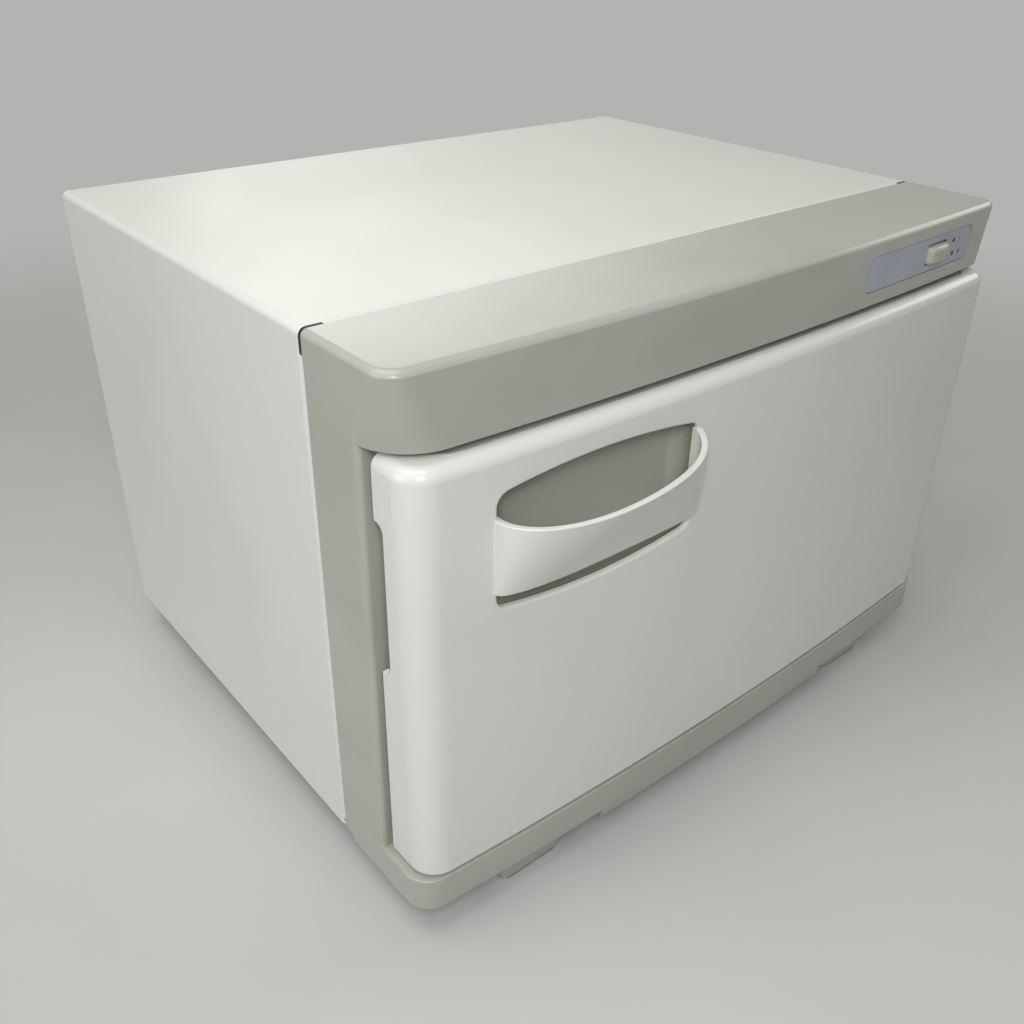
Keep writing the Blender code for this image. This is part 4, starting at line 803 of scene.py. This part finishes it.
carve(moulding, standing(skirt, RAIL_LOW - SKIRT_DROP, RAIL_LOW + FRAME_WALL / 2), "UNION")


def lip_arch(inset):
    x, z, c = half - LIP_INSET - inset, case_top - LIP_INSET - inset, LIP_CHAMFER
    return [(-x, LIP_LOW), (-x, z - c), (c - x, z), (x - c, z), (x, z - c), (x, LIP_LOW)]


lip = lip_arch(0) + lip_arch(LIP_WALL)[::-1]
carve(moulding, lying(lip, seam - LIP_DEPTH / 2, seam + LIP_DEPTH), "UNION")
hollow = []
for corners, reach, z in ((HEADER_LOW_CORNERS, HEADER_REACH, header_low + FRAME_WALL),
                          (HEADER_TOP_CORNERS, HEADER_REACH, case_top - HEADER_CREASE - FRAME_WALL),
                          (HEADER_TOP_CORNERS, HEADER_REACH - 2 * FRAME_WALL, case_top - FRAME_WALL)):
    hollow.append(bowed_ring(half, reach, corners, face_back + FRAME_WALL, z, FRAME_WALL))
carve(moulding, loft(hollow))
in_x, in_z = half - LIP_INSET - LIP_WALL, case_top - LIP_INSET - LIP_WALL
carve(moulding, block((-in_x, face_back, case_low.z + FRAME_WALL),
                      (in_x, seam + LIP_DEPTH / 2 + FRAME_WALL, in_z - LIP_CHAMFER)))
carve(moulding, block((LIP_CHAMFER - in_x, face_back, case_low.z + 2 * FRAME_WALL),
                      (in_x - LIP_CHAMFER, seam + LIP_DEPTH + FRAME_WALL, in_z)))
rail_hollow = [bowed_ring(half, RAIL_REACH, FRONT_CORNERS, rail_back - FRAME_WALL, z, FRAME_WALL)
               for z in (RAIL_LOW + FRAME_WALL, RAIL_HIGH - FRAME_WALL)]
carve(moulding, loft(rail_hollow))
opening = rounded_rect(-OPENING_HALF, OPENING_LOW, OPENING_HALF, OPENING_HIGH, OPENING_RADIUS)
carve(moulding, lying(opening, seam - RAIL_REACH, face_back + FRAME_WALL))
for bush, wall in (("upper_hinge_bush", header_low + FRAME_WALL / 2),
                   ("lower_hinge_bush", RAIL_HIGH - FRAME_WALL / 2)):
    centre = middle_of(bush)
    hole = circle(centre.x, centre.y, BUSH_HOLE)
    carve(moulding, standing(hole, wall - FRAME_WALL, wall + FRAME_WALL))
carve(moulding, label_slab(LABEL_MARGIN, -FRAME_WALL, LABEL_RECESS))
switch_x = middle_of("switch_rocker").x


def face_turn(x):
    """Turn from straight ahead to the way the bowed face looks there."""
    return Matrix.Rotation(math.atan(x / BOW_RADIUS), 4, "Z")


def switch_window(hole, ahead, behind):
    """Block through the header at the switch, square to the bowed face."""
    across, tall = hole
    window = block((-across, -ahead, -tall), (across, behind, tall))
    place = Matrix.Translation((switch_x, bow_y(switch_x, HEADER_REACH), label_middle))
    bmesh.ops.transform(window, matrix=place @ face_turn(switch_x), verts=window.verts)
    return window


carve(moulding, switch_window(SWITCH_HOLE, FRAME_WALL, 2 * FRAME_WALL))
shade(moulding)
fit(moulding, "cabinet", "grey_plastic", "front_frame")

# Control plate and rocker
# A pale printed film on a thin plate lies in the header's recess, with two dots and the strokes for
# on and off beside the switch. The rocker is a glossy ivory moulding on two trunnions.
PLATE_BEHIND = 0.0009
PLATE_THICKNESS = 0.0006
PLATE_HOLE = (0.0086, 0.0048)
FILM_GREYS = ((0.410, 0.430, 0.495), (0.450, 0.470, 0.535))
INK_BLACKS = ((0.030, 0.028, 0.030), (0.055, 0.050, 0.055))
DOT_RADIUS = 0.0011
DOT_SIDES = 20
DOT_PLACES = ((0.1368, 0.0030), (0.1382, -0.0033))
STROKE_PLACES = ((0.1425, 0.0030), (0.1438, -0.0033))
STROKE_SIZE = 0.0026
PRINT_LIFT = 0.00008
PRINT_MERGE = 1e-7
ROCKER_WIDTH = 0.0165
ROCKER_HEIGHT = 0.0084
ROCKER_PROUD = 0.0053
ROCKER_BACK = 0.0030
ROCKER_TILT = math.radians(9)
ROCKER_ROUND = 0.0024
ROCKER_STATIONS = 24
ROCKER_FULLNESS = 4.5
ROCKER_SMOOTH = math.radians(40)
TRUNNION_RADIUS = 0.0010
TRUNNION_REACH = 0.0086
IVORIES = ((0.47, 0.465, 0.385), (0.53, 0.525, 0.445))

film = patchy("label_film", (0.02, *FILM_GREYS), (0.008, 0.32, 0.46), (0.0003, 0.000004))
plate = link_piece("label_plate", label_slab(0, PLATE_BEHIND - PLATE_THICKNESS, PLATE_BEHIND), film)
carve(plate, switch_window(PLATE_HOLE, 2 * FRAME_WALL, FRAME_WALL))
shade(plate)
fit(plate, "cabinet", "label_film", "control_plate")

ink, tree, shader = new_finish("dark_ink", 0.5)
tint(tree, shader, cloud(tree, 0.0006), *INK_BLACKS)


def print_at(x, rise):
    """Where a mark lies on the bowed plate."""
    place = Matrix.Translation((x, bow_y(x, HEADER_REACH - PLATE_BEHIND + PLATE_THICKNESS) - PRINT_LIFT,
                                label_middle + rise))
    return place @ face_turn(x) @ Matrix.Rotation(math.pi / 2, 4, "X")


marks = bmesh.new()
for x, rise in DOT_PLACES:
    bmesh.ops.create_cone(marks, cap_ends=True, segments=DOT_SIDES, radius1=DOT_RADIUS, radius2=DOT_RADIUS,
                          depth=PRINT_LIFT, matrix=print_at(x, rise))
for letter, (x, rise) in zip("IO", STROKE_PLACES):
    curve = bpy.data.curves.new("stroke", "FONT")
    curve.body = letter
    curve.size = STROKE_SIZE
    curve.align_x, curve.align_y = "CENTER", "CENTER"
    curve.extrude = PRINT_LIFT / 2
    stroke = bpy.data.objects.new("stroke", curve)
    scene.collection.objects.link(stroke)
    outline = built_mesh(stroke)
    outline.transform(print_at(x, rise))
    marks.from_mesh(outline)
    bpy.data.objects.remove(stroke)
bmesh.ops.remove_doubles(marks, verts=marks.verts, dist=PRINT_MERGE)
marks_piece = link_piece("switch_marks", marks, ink)
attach(marks_piece, "cabinet")


def sideways(points, left, right):
    """Prism from left to right on an outline in y and z."""
    return loft([[(x, y, z) for y, z in points] for x in (left, right)])


ivory = patchy("ivory_moulding", (0.006, *IVORIES), (0.003, 0.22, 0.36), (0.0006, 0.000004))
tall = ROCKER_HEIGHT / 2
profile = rounded_rect(-ROCKER_PROUD, -tall, ROCKER_BACK, tall, ROCKER_ROUND)
loops = []
for i in range(1, ROCKER_STATIONS):
    share = -math.cos(math.pi * i / ROCKER_STATIONS)
    full = (1 - abs(share) ** ROCKER_FULLNESS) ** (1 / ROCKER_FULLNESS)
    loop = []
    for y, z in profile:
        ahead = max(0.0, ROCKER_BACK - y) * full
        bow = max(0.0, -y / ROCKER_PROUD) * abs(z) * math.tan(ROCKER_TILT)
        loop.append((share * ROCKER_WIDTH / 2, ROCKER_BACK - ahead - bow * full,
                     z * (full if y < 0 else 1.0) ** 0.5))
    loops.append(loop)
rocker = link_piece("rocker", loft(loops), ivory)
pivot = circle(0, 0, TRUNNION_RADIUS)
carve(rocker, sideways(pivot, -TRUNNION_REACH, TRUNNION_REACH), "UNION")
rocker_joint = next(joint for joint in frame["joints"] if joint["name"] == "rocker_pivot")
rocker.data.transform(Matrix.Translation(rocker_joint["pos_m"]) @ face_turn(switch_x)
                      @ Matrix.Rotation(ROCKER_TILT, 4, "X"))
shade(rocker, ROCKER_SMOOTH)
fit(rocker, "rocker", "ivory_plastic", "switch_rocker")

softened_copy("switch_box", "switch_body", black_plastic, "cabinet", "black_plastic", 0.0002)

# Tank
# A deep-drawn aluminium tub, open at the front, whose flange is held behind the frame's face. Its
# rolled grain runs from front to back.
ALUMINIUM_GREYS = ((0.68, 0.69, 0.70), (0.77, 0.78, 0.79))
ROLL_GRAIN = 0.0009

aluminium, tree, shader = new_finish("rolled_aluminium", 0.32, 1.0)
tint(tree, shader, cloud(tree, 0.03, (1, 0.08, 1)), *ALUMINIUM_GREYS)
gloss(tree, shader, cloud(tree, ROLL_GRAIN * 6, (1, 0.05, 1)), 0.30, 0.40)
relief(tree, shader, (cloud(tree, ROLL_GRAIN, (1, 0.03, 1)), 0.000006),
       (cloud(tree, 0.05, detail=0.0), 0.00004))
softened_copy("tank", "inner_tank", aluminium, "cabinet", "aluminium", 0.0004)

# Heater mat and mineral wool
# A foil heater is stuck under the tank's floor, and slabs of yellow mineral wool fill the space to
# the casing and the door's front. None of them shows once the cabinet is shut up.
FOIL_BROWNS = ((0.36, 0.16, 0.05), (0.52, 0.27, 0.10))
WOOL_YELLOWS = ((0.55, 0.48, 0.26), (0.74, 0.68, 0.44))


def dress(finish, *nodes):
    """Give CAD nodes that stay as they are their own finish."""
    for node in nodes:
        frame["nodes"][node].material_slots[0].material = finish


foil, tree, shader = new_finish("heater_foil", 0.4)
tint(tree, shader, cloud(tree, 0.006, (1, 0.1, 1)), *FOIL_BROWNS)
gloss(tree, shader, cloud(tree, 0.004), 0.32, 0.5)
relief(tree, shader, (cloud(tree, 0.003), 0.00004))
dress(foil, "heater_mat")
wool, tree, shader = new_finish("mineral_wool", 0.95)
tint(tree, shader, cloud(tree, 0.004, (0.2, 0.2, 1), detail=8.0), *WOOL_YELLOWS)
relief(tree, shader, (cloud(tree, 0.0015, (0.3, 0.3, 1), detail=6.0), 0.0006))
dress(wool, "insulation_top", "insulation_left", "insulation_right", "insulation_bottom", "insulation_rear",
      "door_insulation")

# Electrical fittings
# A bimetal thermostat and a thermal fuse sit on the tank's back, a ceramic terminal block stands on
# the base pan, and insulated leads join them to the switch.
CERAMIC_CREAMS = ((0.70, 0.68, 0.61), (0.82, 0.80, 0.74))
SILICONE_GREYS = ((0.50, 0.50, 0.48), (0.64, 0.64, 0.62))

ceramic = patchy("steatite", (0.003, *CERAMIC_CREAMS), (0.002, 0.35, 0.6), (0.0005, 0.00002))
dress(ceramic, "terminal_block")
silicone = patchy("silicone_rubber", (0.02, *SILICONE_GREYS), (0.005, 0.48, 0.66),
                  (0.0005, 0.00001))
dress(silicone, "heater_lead", "thermostat_lead", "fuse_lead")
dress(black_plastic, "thermostat", "switch_lead")
dress(steel, "thermal_fuse")

# Feet
# Two front feet are grey mouldings that carry the header's weight under the rail. Two turned rubber
# feet are screwed under the back of the base pan.
RUBBER_BLACKS = ((0.020, 0.020, 0.020), (0.045, 0.044, 0.043))
FOOT_EDGE = 0.0008

matt_grey = grey_moulding("matt_grey", 0.000012)
rubber = patchy("foot_rubber", (0.005, *RUBBER_BLACKS), (0.003, 0.7, 0.9), (0.0006, 0.00003))
for end, finish, slot in (("front", matt_grey, "grey_plastic"), ("rear", rubber, "rubber")):
    for side in ("left", "right"):
        softened_copy(f"foot_{end}_{side}", f"{end}_foot_{side}", finish, "cabinet", slot, FOOT_EDGE, 3)

# Door shell and strap handle
# The door's front is a glossy white moulding, bowed like the header and closed at the edges by its
# own walls. The handle is a strap moulded across a barrel-shaped cut-out, fuller at its upper edge.
DOOR_REACH_TOP = 0.0597
DOOR_REACH_LOW = 0.0618
DOOR_BACK = 0.0330
DOOR_WALL = 0.0025
DOOR_TOP_FILLET = 0.0050
DOOR_LOW_FILLET = 0.0010
DOOR_TOP_STEPS = 10
REBATE_START = 0.0140
REBATE_CORNERS = (0.0160, 0.0100)
REBATE_DEPTH = 0.0018
GRIP_TOP, GRIP_LOW = 0.0560, 0.1196
GRIP_DEPTH = 0.0050
GRIP_RADIUS = 0.0040
GRIP_OVERCUT = 0.0003
HINGE_TRIM = 0.0024
PIN_HOLE = 0.0023
CUT_LEFT, CUT_RIGHT = -0.1400, -0.0425
CUT_TOP, CUT_LOW = 0.0476, 0.0945
CUT_ARCH = 0.0045
CUT_RADIUS = 0.0055
CUT_LEAST_RADIUS = CUT_RADIUS / 8
CUT_EDGE = 0.0012
CUT_EDGE_STEPS = 6
CUT_STEPS = 32
CUP_BACK = 0.0450
STRAP_TOP, STRAP_LOW = 0.0570, 0.0869
STRAP_RISE_TOP, STRAP_RISE_LOW = 0.0205, 0.0052
STRAP_THICKNESS = 0.0028
STRAP_EDGE = 0.0006
STRAP_SINK = 0.0024
STRAP_FOOT = 0.0001
STRAP_ROOT = 0.0012
ROOT_RUN_OUT = 5.0
STRAP_END_LIFT = (0.0, 0.0062)
ROOT_ANGLES = (0.0, 0.0012, 0.0035, 0.007, 0.012, 0.019, 0.028)
STRAP_LEAN = 0.22
STRAP_FULLNESS_TOP = (2.0, 2.1)
STRAP_FULLNESS_LOW = (2.4, 4.4)
STRAP_ROWS = 9
STRAP_STATIONS = 72
GLOSS_WHITES = ((0.765, 0.762, 0.72), (0.80, 0.795, 0.745))

door_low, door_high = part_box("door_shell")
door_half = door_high.x
strap_middle = (CUT_LEFT + CUT_RIGHT) / 2
strap_half = (CUT_RIGHT - CUT_LEFT) / 2 + STRAP_FOOT
hinge = middle_of("upper_hinge_pin")


def door_reach(z):
    share = (z - door_low.z) / (door_high.z - door_low.z)
    return DOOR_REACH_LOW + share * (DOOR_REACH_TOP - DOOR_REACH_LOW)


def cut_out(grow):
    """Barrel-shaped outline of the handle's cut-out, grown by a margin."""
    low, high = case_top - CUT_LOW, case_top - CUT_TOP
    radius = max(CUT_RADIUS + grow, CUT_LEAST_RADIUS)
    outline = rounded_rect(CUT_LEFT - grow, low - grow, CUT_RIGHT + grow, high + grow, radius, CUT_STEPS)
    arched = []
    for x, z in outline:
        lift = max(0.0, 1 - ((x - strap_middle) / ((CUT_RIGHT - CUT_LEFT) / 2)) ** 2) * CUT_ARCH
        arched.append((x, z + math.copysign(lift, z - (low + high) / 2)))
    return arched


def behind_face(outline, depth):
    """Outline laid on the bowed face, or that far behind it."""
    return [(x, bow_y(x, door_reach(z)) + depth, z) for x, z in outline]


def strap_section():
    """Round the strap's section: shares of its height and of its thickness."""
    edge, depth = STRAP_EDGE / (STRAP_LOW - STRAP_TOP), STRAP_EDGE / STRAP_THICKNESS
    face = [edge + (1 - 2 * edge) * i / (STRAP_ROWS - 1) for i in range(STRAP_ROWS)]
    turns = [math.pi / 2 * i / EDGE_STEPS for i in range(1, EDGE_STEPS)]
    upper = [(1 - edge * (1 - math.sin(turn)), depth * (1 - math.cos(turn))) for turn in turns]
    outer = [(share, 0.0) for share in face] + upper + [(1.0, depth)]
    lower = [(1 - share, thick) for share, thick in reversed(upper)]
    outer = [(0.0, depth)] + lower + outer
    return outer + [(share, 1 - thick) for share, thick in reversed(outer)]


def strap_point(angle, share, thick, sink):
    low, high = case_top - STRAP_LOW, case_top - STRAP_TOP
    shrink = STRAP_THICKNESS * thick
    end = 0 if math.cos(angle) > 0 else 1
    z = low + share * (high - low + STRAP_END_LIFT[end] * (1 - math.sin(angle)) ** 2)
    power = 2 / (STRAP_FULLNESS_LOW[end] + share * (STRAP_FULLNESS_TOP[end] - STRAP_FULLNESS_LOW[end]))
    across = math.copysign(abs(math.cos(angle)) ** power, math.cos(angle))
    rise = STRAP_RISE_LOW + share * (STRAP_RISE_TOP - STRAP_RISE_LOW)
    rise = (rise * (1 + STRAP_LEAN * across) - shrink) * abs(math.sin(angle)) ** power
    x = strap_middle - (strap_half - shrink) * across
    if rise < STRAP_ROOT:
        spread = 1 - math.sqrt(1 - (1 - rise / STRAP_ROOT) ** 2)
        x -= math.copysign(STRAP_ROOT * spread * (1 - thick) * min(1.0, ROOT_RUN_OUT * (1 - share)), across)
    return (x, bow_y(x, door_reach(z)) - rise + sink, z)


gloss_white, tree, shader = new_finish("gloss_white", 0.22)
tint(tree, shader, cloud(tree, 0.12), *GLOSS_WHITES, AGED_SPREAD)
gloss(tree, shader, cloud(tree, 0.05, detail=1.0), 0.20, 0.24)
relief(tree, shader, (cloud(tree, 0.0009, detail=1.0), 0.000003), (cloud(tree, 0.035, detail=0.0), 0.00003))
shader.inputs["Coat Weight"].default_value = 0.3
shader.inputs["Coat Roughness"].default_value = 0.06

rows = rounded_rows(door_low.z, DOOR_LOW_FILLET, EDGE_STEPS, door_high.z, DOOR_TOP_FILLET, DOOR_TOP_STEPS)
loops = [bowed_ring(door_half, door_reach(z), FRONT_CORNERS, seam - DOOR_BACK, z, inset)
         for inset, z in rows]
shell = link_piece("door_front", loft(loops), gloss_white)
loops = [bowed_ring(door_half, door_reach(z), FRONT_CORNERS, seam, z, DOOR_WALL)
         for z in (door_low.z + DOOR_WALL, door_high.z - DOOR_WALL)]
carve(shell, loft(loops))
rebate = bowed_outline(half - REBATE_START, HEADER_REACH, REBATE_CORNERS, seam)
carve(shell, standing(rebate, door_high.z - REBATE_DEPTH, door_high.z + DOOR_WALL))
loops = [behind_face(cut_out(0), -2 * DOOR_WALL)]
loops += [behind_face(cut_out(-rise), inset) for inset, rise in quarter_round(CUT_EDGE, CUT_EDGE_STEPS)]
carve(shell, loft(loops + [upright(cut_out(-CUT_EDGE), seam - CUP_BACK)]))
angles = list(ROOT_ANGLES) + [math.pi * i / STRAP_STATIONS for i in range(1, STRAP_STATIONS // 2)]
angles += [math.pi / 2] + [math.pi - angle for angle in reversed(angles)]
loops = [[strap_point(angle, share, thick, 0.0) for share, thick in strap_section()] for angle in angles]
for place, angle in ((0, angles[0]), (len(loops) + 1, angles[-1])):
    loops.insert(place, [strap_point(angle, share, thick, STRAP_SINK) for share, thick in strap_section()])
carve(shell, loft(loops), "UNION")
grip = rounded_rect(seam - DOOR_BACK - GRIP_DEPTH, case_top - GRIP_LOW,
                    seam + DOOR_BACK, case_top - GRIP_TOP, GRIP_RADIUS)
carve(shell, sideways(grip, -half, DOOR_WALL - door_half + GRIP_OVERCUT))
carve(shell, block((hinge.x, seam - DOOR_BACK - HINGE_TRIM, door_low.z - DOOR_WALL),
                   (half, seam, door_high.z + DOOR_WALL)))
for z in (door_low.z, door_high.z):
    hole = circle(hinge.x, hinge.y, PIN_HOLE)
    carve(shell, standing(hole, z - 2 * DOOR_WALL, z + 2 * DOOR_WALL))
shade(shell)
fit(shell, "door", "white_plastic", "door_shell")

# Handle cup
# A separate grey tub behind the strap, glued inside the door's front. Its floor runs up into its
# walls in a wide round, so fingers find no corner; painted shade darkens its rim to olive.
CUP_RIM = 0.0011
RIM_SHADE_REACH = 0.0060
RIM_SHADE_OLIVE = (0.210, 0.210, 0.150)
CUP_FLOOR = 0.0055
CUP_ROUND = 0.0070
CUP_GAP = 0.0003
CUP_STEPS = 8

cup_low, cup_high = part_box("handle_pocket")
xs = [cup_low.x + (cup_high.x - cup_low.x) * i / CUT_STEPS for i in range(CUT_STEPS + 1)]
loops = []
for z in (cup_low.z, cup_high.z):
    front = [(x, bow_y(x, door_reach(z) - DOOR_WALL - CUP_GAP)) for x in xs]
    loops.append(level(front + [(cup_high.x, cup_high.y), (cup_low.x, cup_high.y)], z))
cup_grey = grey_moulding("cup_grey", 0.000006)
cup = link_piece("handle_cup", loft(loops), cup_grey)
floor_y = cup_high.y - CUP_FLOOR
loops = [upright(cut_out(-CUT_EDGE - CUP_RIM), seam - 2 * DOOR_REACH_LOW)]
for inset, rise in quarter_round(CUP_ROUND, CUP_STEPS):
    loops.append(upright(cut_out(-CUT_EDGE - CUP_RIM - inset), floor_y - CUP_ROUND + rise))
carve(cup, loft(loops))
shade(cup)
# Painted shade: a share that is 1 at the cup's rim by the door's face and fades out further back.
soiled = cup.data.attributes.new("soiled", "FLOAT", "POINT")
for vertex, mark in zip(cup.data.vertices, soiled.data):
    behind = vertex.co.y - bow_y(vertex.co.x, door_reach(vertex.co.z) - DOOR_WALL - CUP_GAP)
    mark.value = max(0.0, 1 - behind / RIM_SHADE_REACH)
# The cup's colour turns dark olive by that share, painted shade standing in for the shadow under the
# cut-out's edge.
tree = cup_grey.node_tree
shader = tree.nodes["Principled BSDF"]
unshaded_colour = shader.inputs["Base Color"].links[0].from_socket
mark = node_output(tree, "ShaderNodeAttribute", give="Fac", attribute_name="soiled")
rim_shaded = node_output(tree, "ShaderNodeMix", {"Factor": mark, "A": unshaded_colour, "B": (*RIM_SHADE_OLIVE, 1.0)}, "Result",
                   data_type="RGBA")
tree.links.new(rim_shaded, shader.inputs["Base Color"])
fit(cup, "door", "grey_plastic", "handle_pocket")

# Door lining and seal
# The door's back is closed by a pale moulded lining with a raised panel, held by four screws, and a
# soft silicone seal with a round lip runs round the panel and meets the frame's face.
LINING_WHITES = ((0.665, 0.665, 0.625), (0.695, 0.695, 0.655))
SEAL_WIDTH = 0.0070
SEAL_MARGIN = 0.0025
SEAL_RADIUS = 0.010
SEAL_STEPS = 10
SEAL_LIP = 0.8
SEAL_SHOULDER = 0.35
SEAL_SMOOTH = math.radians(60)

lining_plastic = patchy("lining_plastic", (0.07, *LINING_WHITES), (0.015, 0.34, 0.48),
                        (0.0006, 0.000012))
softened_copy("door_lining", "door_liner", lining_plastic, "door", "liner_plastic", 0.0006, 3)
screws("lining_screws", [("liner_screw", 4, (0, 1, 0))], "door")

seal_low, seal_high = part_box("door_gasket")
profile = [(SEAL_WIDTH, seal_low.y), (0.0, seal_low.y)]
for i in range(SEAL_STEPS + 1):
    turn = math.pi * i / SEAL_STEPS
    rise = SEAL_SHOULDER + (1 - SEAL_SHOULDER) * math.sin(turn)
    profile.append((SEAL_WIDTH / 2 * (1 - math.cos(turn) * SEAL_LIP),
                    seal_low.y + (seal_high.y - seal_low.y) * rise))
loops = []
for grow, y in profile:
    reach = SEAL_MARGIN + grow
    ring = rounded_rect(-OPENING_HALF - reach, OPENING_LOW - reach,
                        OPENING_HALF + reach, OPENING_HIGH + reach, SEAL_RADIUS + grow)
    loops.append(upright(ring, y))
seal = link_piece("door_seal", loft(loops, closed=True), silicone)
seal.data.shade_smooth()
seal.data.set_sharp_from_angle(angle=SEAL_SMOOTH)
fit(seal, "door", "silicone", "door_gasket")

# Catch and hinge
# A magnet on the frame's left stile holds a steel plate on the lining. The door turns on two steel
# pins in brass bushes pressed into the header and the rail.
BRASS_YELLOWS = ((0.52, 0.36, 0.13), (0.72, 0.55, 0.26))
FITTING_EDGE = 0.00015

brass, tree, shader = new_finish("turned_brass", 0.35, 1.0)
tint(tree, shader, cloud(tree, 0.002, (1, 1, 4)), *BRASS_YELLOWS)
gloss(tree, shader, cloud(tree, 0.001), 0.28, 0.46)
relief(tree, shader, (cloud(tree, 0.0004, (0.2, 0.2, 3)), 0.000008))
for name, node, body, finish, slot in (
        ("catch_block", "catch_magnet", "cabinet", black_plastic, "black_plastic"),
        ("catch_strike", "strike_plate", "door", steel, "steel"),
        ("hinge_bush_upper", "upper_hinge_bush", "cabinet", brass, "brass"),
        ("hinge_bush_lower", "lower_hinge_bush", "cabinet", brass, "brass"),
        ("hinge_pin_upper", "upper_hinge_pin", "door", steel, "steel"),
        ("hinge_pin_lower", "lower_hinge_pin", "door", steel, "steel")):
    softened_copy(name, node, finish, body, slot, FITTING_EDGE)

# Drip tray
# A shallow aluminium tray with sloping sides lies loose on the tank's floor under the rack and
# catches what drips from the towels.
softened_copy("tray", "drip_tray", aluminium, "tray", "aluminium", 0.0003)

# Wire rack
# Eleven bright chromed wires are welded across three others, and four short legs carry the rack
# over the tray. One tree draws every wire round its line.
WIRE_RADIUS = 0.0015
WIRE_BITE = 0.0006
LONG_WIRES = 11
WIRE_SIDES = 16
WIRE_EDGE = 0.0004
CHROME_GREYS = ((0.55, 0.56, 0.57), (0.68, 0.69, 0.70))

chrome = patchy("chromed_wire", (0.01, *CHROME_GREYS), (0.004, 0.08, 0.20), (0.002, 0.000006), 1.0)

rack_sizes = {"Wire Radius": WIRE_RADIUS}
rack_tree, start, end, rack_keys = new_tree("welded_wires", rack_sizes)
lines = node_output(rack_tree, "GeometryNodeMeshToCurve", {"Mesh": start.outputs["Geometry"]})
ring = node_output(rack_tree, "GeometryNodeCurvePrimitiveCircle",
                   {"Resolution": WIRE_SIDES, "Radius": start.outputs["Wire Radius"]})
drawn = node_output(rack_tree, "GeometryNodeCurveToMesh",
                    {"Curve": lines, "Profile Curve": ring, "Fill Caps": True})
end_tree(rack_tree, drawn, end, chrome)

rack_low, rack_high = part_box("wire_shelf")
long_z = rack_high.z - WIRE_RADIUS
cross_z = long_z - 2 * WIRE_RADIUS + WIRE_BITE
edge = rack_high.x - 2 * WIRE_RADIUS
ends = (rack_low.y, rack_high.y)
cross_ys = [ends[0] + 2 * WIRE_RADIUS, (ends[0] + ends[1]) / 2, ends[1] - 2 * WIRE_RADIUS]
wires = [((x, ends[0], long_z), (x, ends[1], long_z))
         for x in (edge * (2 * i / (LONG_WIRES - 1) - 1) for i in range(LONG_WIRES))]
wires += [((rack_low.x, y, cross_z), (rack_high.x, y, cross_z)) for y in cross_ys]
for number in range(1, 5):
    leg = middle_of(f"shelf_leg_{number}")
    wires.append(((leg.x, leg.y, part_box(f"shelf_leg_{number}")[0].z), (leg.x, leg.y, cross_z)))
guide = bpy.data.meshes.new("wire_lines")
guide.from_pydata([point for wire in wires for point in wire],
                  [(2 * i, 2 * i + 1) for i in range(len(wires))], [])
rack = grown("wire_rack", guide, rack_tree, rack_keys, rack_sizes)
soften(rack, WIRE_EDGE, 3)
fit(rack, "shelf", "chrome_wire", "wire_shelf", "shelf_leg_1", "shelf_leg_2", "shelf_leg_3", "shelf_leg_4")
